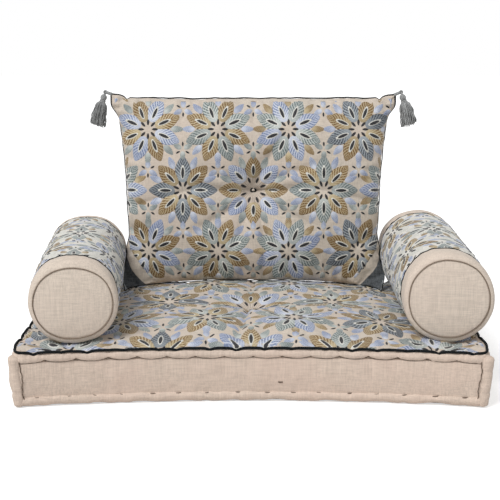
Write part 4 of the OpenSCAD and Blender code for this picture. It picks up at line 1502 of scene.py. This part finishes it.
class Design:
    """Flat motifs laid on one piece's finished cloth.

    ray(a, b) gives where a flat point looks for the cloth. limits(a, b) gives how far the panel reaches."""

    def __init__(self, name, body, cloth, ray, limits, looks):
        self.name, self.body, self.ray, self.limits, self.looks = name, body, ray, limits, looks
        self.tree = tree_of(cloth)
        self.work = Mesher()
        self.rng = random.Random(name)

    def on_cloth(self, a, b, lift):
        origin, direction = self.ray(a, b)
        hit, normal, _, _ = self.tree.ray_cast(origin, direction)
        if hit is None:
            return None
        if normal.dot(direction) > 0:
            normal = -normal
        return hit + normal * lift

    def leaf(self, a, b, angle, length, width, look, lift=LEAF_LIFT, grid=(12, 8), point=0.8):
        """A pointed leaf whose stalk end is at a, b: a low pad of stitches, cut off where the panel ends."""
        seed = self.rng.random()
        rows, cols = grid
        ca, sa = math.cos(angle), math.sin(angle)
        spots = {}
        for i in range(rows + 1):
            t = i / rows
            half = width / 2 * math.sin(math.pi * t ** point) ** 0.8
            for j in range(cols + 1):
                s = 2 * j / cols - 1
                along, aside = t * length, s * half
                pa, pb = a + along * ca - aside * sa, b + along * sa + aside * ca
                far_a, far_b = self.limits(pa, pb)
                cut_a, cut_b = max(-far_a, min(far_a, pa)), max(-far_b, min(far_b, pb))
                cut = cut_a != pa or cut_b != pb
                rim = min(1 - abs(s), 4 * t, 4 * (1 - t), 0.0 if cut else 1.0)
                height = -LEAF_PAD if rim <= 0 else lift + LEAF_PAD * math.sqrt(rim)
                place = self.on_cloth(cut_a, cut_b, height)
                spots[i, 0 if i in (0, rows) else j] = (place, (t, s, seed), cut)
        numbers, faces = {}, []
        for i in range(rows):
            for j in range(cols):
                corners = []
                for p, q in ((i, j), (i + 1, j), (i + 1, j + 1), (i, j + 1)):
                    key = (p, 0 if p in (0, rows) else q)
                    if key not in corners:
                        corners.append(key)
                found = all(spots[key][0] is not None for key in corners)
                if found and not all(spots[key][2] for key in corners):
                    faces.append([numbers.setdefault(key, len(numbers)) for key in corners])
        self.work.add([spots[key][0] for key in numbers], faces, look, [spots[key][1] for key in numbers])

    def bud(self, a, b, angle, length, width):
        self.leaf(a, b, angle, length, width, BLACK_NO, grid=(6, 4), point=1.0)

    def marked_leaf(self, a, b, angle, length, width, look):
        """A leaf with a pale spindle along its middle and a dark bud in it."""
        self.leaf(a, b, angle, length, width, look)
        for start, long, wide, thread, lift in (
            (0.08, 0.62, 0.42, CREAM_NO, PALE_LIFT), (0.14, 0.46, 0.27, BLACK_NO, BUD_LIFT)
        ):
            self.leaf(*stepped(a, b, angle, start * length), angle, long * length, wide * width, thread, lift,
                      (8, 4), 1.0)

    def flower(self, a, b, reach, looks, turn, open_heart=False):
        """Eight leaves in turn of two threads, eight small ones between their tips, and buds at the heart."""
        heart, bud_start = (0.32, 0.20) if open_heart else (0.20, 0.10)
        for k in range(8):
            angle = turn + math.pi * k / 4
            self.marked_leaf(*stepped(a, b, angle, heart * reach), angle, (1 - heart) * reach, 0.50 * reach,
                             looks[k % 2])
            angle += math.pi / 8
            self.leaf(*stepped(a, b, angle, 0.64 * reach), angle, 0.40 * reach, 0.23 * reach, looks[2],
                      grid=(8, 4))
            self.bud(*stepped(a, b, angle, bud_start * reach), angle, 0.20 * reach, 0.09 * reach)

    def sprig(self, a, b, reach, look, turn):
        """Three small leaves with buds between them, to fill the space between flowers."""
        for k in range(3):
            angle = turn + 2 * math.pi * k / 3
            self.leaf(*stepped(a, b, angle, 0.1 * reach), angle, 0.9 * reach, 0.55 * reach, look, grid=(7, 4))
            angle += math.pi / 3
            self.bud(*stepped(a, b, angle, 0.25 * reach), angle, 0.45 * reach, 0.20 * reach)

    def half_drop(self, pitch, columns, rows, open_heart=False):
        """Rows of flowers, each row shifted by half a step, with sprigs in the gaps."""
        step = pitch * math.sqrt(3) / 2
        reach, small = FLOWER_REACH * pitch, SPRIG_REACH * pitch
        for row in rows:
            for col in columns:
                a, b = (col + 0.5 * (row % 2)) * pitch, row * step
                far_a, far_b = self.limits(a, b)
                if abs(a) > far_a + reach or abs(b) > far_b + reach:
                    continue
                looks = self.looks[(col + 2 * row) % len(self.looks)]
                open_here = open_heart and row == 0 and col == 0
                self.flower(a, b, reach, looks, HALF_TURN * (row % 2), open_here)
                self.sprig(a + pitch / 2, b + step / 3, small, BLUE_NO, math.pi / 2)
                self.sprig(a, b + 2 * step / 3, small, SAGE_NO, -math.pi / 2)

    def finish(self, slot):
        piece = self.work.build(self.name, THREADS)
        finished(piece, self.body)


FLOWER_PITCH = 0.172
SEAT_PITCH = 0.190
# Shares of the pitch
FLOWER_REACH = 0.500
SPRIG_REACH = 0.165
# Threads of the large leaves in turn, and of the small ones
FLOWER_LOOKS = (
    (OCHRE_NO, BLUE_NO, SAGE_NO),
    (SAGE_NO, OCHRE_NO, BLUE_NO),
    (BLUE_NO, SAGE_NO, OCHRE_NO),
    (SLATE_NO, OCHRE_NO, BLUE_NO),
)
PALE_LOOKS = (
    (BLUE_NO, CREAM_NO, SAGE_NO),
    (SAGE_NO, CREAM_NO, OCHRE_NO),
    (CREAM_NO, BLUE_NO, SAGE_NO),
    (OCHRE_NO, CREAM_NO, BLUE_NO),
)
# Every other row of flowers is turned by half the angle between two leaves
HALF_TURN = 0.3927
BACK_MARGIN = 0.009
SEAT_MARGIN = 0.003
BAND_MARGIN = 0.003
# Where rays that look for the cloth start: off the back cushion's middle, over the seat, off a bolster
LOOK_FROM, ABOVE_SEAT, OFF_BOLSTER = 0.25, 0.4, 0.15


def embroider_back(cushion):
    def ray(a, b):
        return back_placed(a, -LOOK_FROM, b), BACK_THROUGH

    def limits(a, b):
        v = max(-1.0, min(1.0, b / BACK_HALF_H))
        u = max(-1.0, min(1.0, a / BACK_MID_HALF_W))
        # The embroidery stops short of the painted shade in the lower corners.
        dark = CORNER_SHADE_ACROSS * max(0.0, 1 - (1 + v) * BACK_HALF_H / CORNER_SHADE_UP)
        return back_outline(1, v)[0] - BACK_MARGIN - dark, back_outline(u, 1)[1] - BACK_MARGIN

    design = Design("back_embroidery", "back_cushion", cushion, ray, limits, FLOWER_LOOKS)
    design.half_drop(FLOWER_PITCH, range(-3, 3), range(-2, 3), open_heart=True)
    design.finish("embroidered_linen")


def embroider_seat(cushion):
    def ray(a, b):
        return Vector((a, b, ABOVE_SEAT)), Vector((0, 0, -1))

    def limits(a, b):
        u, v = max(-1.0, min(1.0, a / LINE_W)), max(-1.0, min(1.0, b / LINE_D))
        return LINE_W - SIDE_BOW * (1 - v * v) + SEAT_MARGIN, LINE_D - FRONT_BOW * (1 - u * u) + SEAT_MARGIN

    design = Design("seat_embroidery", "seat_pad", cushion, ray, limits, FLOWER_LOOKS)
    design.half_drop(SEAT_PITCH, range(-4, 4), range(-3, 4), open_heart=True)
    design.finish("embroidered_linen")


def embroider_bolster(bolster, sleeve):
    def ray(a, b):
        angle = a / BOLSTER_R
        axis = bolster.start + bolster.along * (BOLSTER_L / 2 + b)
        axis.z -= 0.004
        outward = bolster.across * math.cos(angle) + Vector((0, 0, math.sin(angle)))
        return axis + outward * OFF_BOLSTER, -outward

    def limits(*_):
        return round_it * 2, BOLSTER_L / 2 - bolster.band - BAND_MARGIN

    round_it = 2 * math.pi * BOLSTER_R
    name = "bolster_%s_embroidery" % bolster.side
    design = Design(name, "bolster_" + bolster.side, sleeve, ray, limits, PALE_LOOKS)
    design.half_drop(round_it / 4, range(4), range(-2, 3))
    design.finish("embroidered_linen")


# Tufts

# Ring of the tuft: radius of its first turn, what each turn adds, and radius of the thread
TUFT_R, TUFT_STEP, TUFT_THREAD_R = 0.0044, 0.0011, 0.0013
KNOB_R, KNOB_RISE = 0.0040, 0.0030
UNDER_TUFT_Z = 0.0042


def make_tuft(name, body, centre, outward, up, nodes, turns=3):
    """A wound ring of dark thread sunk in the cloth, with the linen pinched up in its middle."""
    work = Mesher()
    centre, outward, up = Vector(centre), Vector(outward).normalized(), Vector(up)
    across = up.cross(outward).normalized()
    up = outward.cross(across)

    def at(r, a, rise):
        return centre + across * r * math.cos(a) + up * r * math.sin(a) + outward * rise

    for turn in range(turns):
        line = []
        for k in range(40):
            a = 2 * math.pi * k / 40
            r = TUFT_R + TUFT_STEP * turn + 0.0003 * math.sin(5 * a + turn)
            line.append(at(r, a, 0.0012 + 0.0012 * math.sin(3 * a + 2 * turn) - 0.0008 * turn))
        work.add_tube(line, TUFT_THREAD_R, 8, tuple(outward), loop=True)
    rings = []
    for s in (0.05, 0.45, 0.8, 1.0, 1.05):
        rise = 0.0012 + KNOB_RISE * (1 - s * s) - (0.005 if s > 1 else 0)
        rings.append([at(KNOB_R * s, a, rise) for a in np.linspace(0, 2 * math.pi, 16, endpoint=False)])
    work.add_rings(rings, look=1)
    piece = work.build(name, [DARK, GROUND])
    outward_faces(piece)
    finished(piece, body, nodes)


def make_tufts(back, seat):
    """One tuft on each face of the back cushion and of the pad."""
    back_tree, seat_tree = tree_of(back), tree_of(seat)
    through = BACK_THROUGH.normalized()
    front = back_tree.ray_cast(back_placed(0, -LOOK_FROM, 0), through)[0]
    rear = back_tree.ray_cast(back_placed(0, LOOK_FROM, 0), -through)[0]
    top = seat_tree.ray_cast(Vector((0, 0, ABOVE_SEAT)), Vector((0, 0, -1)))[0]
    make_tuft("back_tuft_front", "back_cushion", front, -through, BACK_UP,
              ["back_tuft_ring_front", "back_tuft_twine"])
    make_tuft("back_tuft_rear", "back_cushion", rear, through, BACK_UP, ["back_tuft_ring_rear"])
    make_tuft("seat_tuft_top", "seat_pad", top, (0, 0, 1), (0, 1, 0),
              ["seat_tuft_ring_top", "seat_tuft_twine"])
    make_tuft("seat_tuft_bottom", "seat_pad", (0, 0, UNDER_TUFT_Z), (0, 0, -1), (0, 1, 0),
              ["seat_tuft_ring_bottom"])


# Tassels

STRANDS = 84
STRAND_R = 0.00125
HEAD_STRANDS = 26
CORD_R = 0.0021
LOOP_R, LOOP_TWIST = 0.0028, 0.0006
STEM_START, STEM_R = 0.0035, 0.0028
WRAPS, WRAP_STEPS, WRAP_R = 5, 120, 0.0009
# The skirt's strands fan out evenly by this angle, and curve back towards the plumb line
FAN_ANGLE = 2.39996
INWARD_HANG = 0.005
# The tie reaches this far into the ear, and ends this far before the loop's middle
TIE_IN, TIE_SHORT = 0.0030, 0.0032


def tassel_pivot(side):
    return next(j["pos_m"] for j in frame["joints"] if j["name"] == "tassel_%s_swing" % side)


def make_tie(side, ear):
    """Yarn that goes through the ear's tip and through the tassel's loop."""
    towards = np.array(tassel_pivot(side)) - ear
    reach = np.linalg.norm(towards)
    towards /= reach
    near, far = -TIE_IN, reach - TIE_SHORT
    middle, half = ear + towards * (near + far) / 2, (far - near) / 2
    work = Mesher()
    for strand in range(3):
        line = []
        for k in range(32):
            a = 2 * math.pi * k / 32
            twist = 5 * a + 2.1 * strand
            aside = np.array([0, 0.0034 * math.sin(a) + 0.0009 * math.sin(twist), 0.0020 * math.cos(twist)])
            line.append(middle + towards * half * math.cos(a) + aside)
        work.add_tube(line, CORD_R, 8, (0, 0, 1), loop=True, mark=(0, 0, 0.2 * strand))
    finished(work.build("tassel_%s_tie" % side, [YARN]), "back_cushion")


class Tassel:
    """A tassel of yarn that hangs from the cushion's ear, leaning outward at rest."""

    def __init__(self, side, sign, seed):
        self.body, self.sign, self.rng = "tassel_" + side, sign, random.Random(seed)
        self.pivot = Vector(tassel_pivot(side))
        self.down = Vector((sign * math.sin(TASSEL_LEAN), 0, -math.cos(TASSEL_LEAN)))
        self.across = Vector((math.cos(TASSEL_LEAN), 0, sign * math.sin(TASSEL_LEAN)))
        self.deep = self.down.cross(self.across)

    def at(self, drop, r=0, angle=0):
        """A point below the pivot, at a radius and an angle round the tassel's axis."""
        aside = self.across * r * math.cos(angle)
        return self.pivot + self.down * drop + aside + self.deep * r * math.sin(angle)

    def finish(self, work, part, node):
        finished(work.build(self.body + part, [YARN]), self.body, [self.body + node])

    def make_loop(self):
        """Two strands twisted to a ring, and the stem below it."""
        work = Mesher()
        for strand in range(2):
            line = []
            for a in np.linspace(0, 2 * math.pi, 36, endpoint=False):
                twist = 9 * a + math.pi * strand
                r = LOOP_R + LOOP_TWIST * math.cos(twist)
                aside = self.deep * 0.0008 * math.sin(twist)
                line.append(self.pivot + self.across * r * math.cos(a) + self.down * r * math.sin(a) + aside)
            work.add_tube(line, CORD_R, 8, tuple(self.deep), loop=True)
        stem = [self.at(drop) for drop in np.linspace(STEM_START, STEM_END + 0.002, 5)]
        work.add_tube(stem, STEM_R, 8, tuple(self.deep))
        self.finish(work, "_cord_loop", "_loop")

    def make_head(self):
        """Strands laid over a round core."""
        work = Mesher()
        for k in range(HEAD_STRANDS):
            angle = 2 * math.pi * k / HEAD_STRANDS + self.rng.uniform(-0.04, 0.04)
            line = []
            for s in np.linspace(0, 1, 9):
                bulge = math.sin(math.pi * (0.08 + 0.84 * s)) ** 0.6
                drop = STEM_END - 0.0006 + (HEAD_H + 0.001) * s
                line.append(self.at(drop, (HEAD_R - 0.0016) * bulge, angle))
            tint = self.rng.uniform(0, 0.5)
            up = tuple(self.at(0, 1, angle + 1.57) - self.at(0))
            work.add_tube(line, STRAND_R, 6, up, mark=(0, 0, tint))
        shares = np.linspace(0, 1, 7)
        core = [self.at(STEM_END + HEAD_H * s) for s in shares]
        radii = [(HEAD_R - 0.0018) * math.sin(math.pi * (0.1 + 0.8 * s)) ** 0.6 for s in shares]
        work.add_tube(core, radii, 16, tuple(self.deep), mark=(0, 0, 0.9))
        self.finish(work, "_yarn_head", "_head")

    def make_binding(self):
        """Yarn wound round the neck."""
        work = Mesher()
        start = STEM_END + HEAD_H
        line = []
        for k in range(WRAP_STEPS + 1):
            angle = 2 * math.pi * WRAPS * k / WRAP_STEPS
            line.append(self.at(start + BINDING_H * k / WRAP_STEPS, BINDING_R - 0.0008, angle))
        work.add_tube(line, WRAP_R, 6, tuple(self.down))
        core = [self.at(start + BINDING_H * s) for s in (0, 0.5, 1)]
        work.add_tube(core, BINDING_R - 0.0012, 16, tuple(self.deep), mark=(0, 0, 0.8))
        self.finish(work, "_yarn_binding", "_binding")

    def make_skirt(self):
        """Wavy strands that spread below the binding."""
        work = Mesher()
        rng, shares = self.rng, np.linspace(0, 1, 10)
        top = STEM_END + HEAD_H + BINDING_H - 0.002
        for k in range(STRANDS):
            spot, angle = math.sqrt((k + 0.5) / STRANDS), FAN_ANGLE * k
            length = SKIRT_L * rng.uniform(0.93, 1.03)
            bend = rng.uniform(-0.0022, 0.0022)
            phase, sway = rng.uniform(0, 6.28), rng.uniform(-0.12, 0.12)
            line = []
            for s in shares:
                r = spot * (BINDING_R * 0.85 + (SKIRT_R - BINDING_R) * s ** 0.34)
                r += 0.0016 * math.sin(13 * s + phase) * min(1, 2 * s)
                hang = self.across * (-self.sign * INWARD_HANG * s * s)
                line.append(self.at(top + length * s, r, angle + sway * s) + self.deep * bend * s * s + hang)
            radii = [STRAND_R * (1.1 - 0.15 * s + 0.10 * math.sin(40 * s + phase)) for s in shares]
            work.add_tube(line, radii, 6, tuple(self.deep), mark=(0, 0, rng.uniform(0.0, 0.85)))
        self.finish(work, "_yarn_skirt", "_skirt")


def make_tassel(*settings):
    tassel = Tassel(*settings)
    tassel.make_loop()
    tassel.make_head()
    tassel.make_binding()
    tassel.make_skirt()


make_camera()
make_world()
make_sun()
make_floor()
left_bolster, left_sleeve = make_bolster(
    side="left", size=0.98, squash=0.015, square=0.012, flat_end=0.085, band=0.058, seed=1.0
)
right_bolster, right_sleeve = make_bolster(
    side="right", size=1.01, squash=-0.014, square=0.006, flat_end=0.035, band=0.074, seed=5.0
)
beside_back = [bpy.data.objects["bolster_%s_%s_cover" % (side, part)] for side in ("left", "right")
               for part in ("sleeve", "rear_band")]
back_cushion, back_seam = make_back([tree_of(piece) for piece in beside_back])
make_back_piping(back_seam)
seat_cushion = make_seat([tree_of(left_sleeve), tree_of(right_sleeve), tree_of(back_cushion)])
make_edges()
make_corner_rolls()
make_seat_piping()
make_stitches()
embroider_back(back_cushion)
embroider_seat(seat_cushion)
embroider_bolster(left_bolster, left_sleeve)
embroider_bolster(right_bolster, right_sleeve)
make_tufts(back_cushion, seat_cushion)
ear_left = back_seam[back_seam[:, 0].argmin()]
ear_right = back_seam[back_seam[:, 0].argmax()]
make_tie("left", ear_left)
make_tie("right", ear_right)
make_tassel("left", -1, 41)
make_tassel("right", 1, 43)
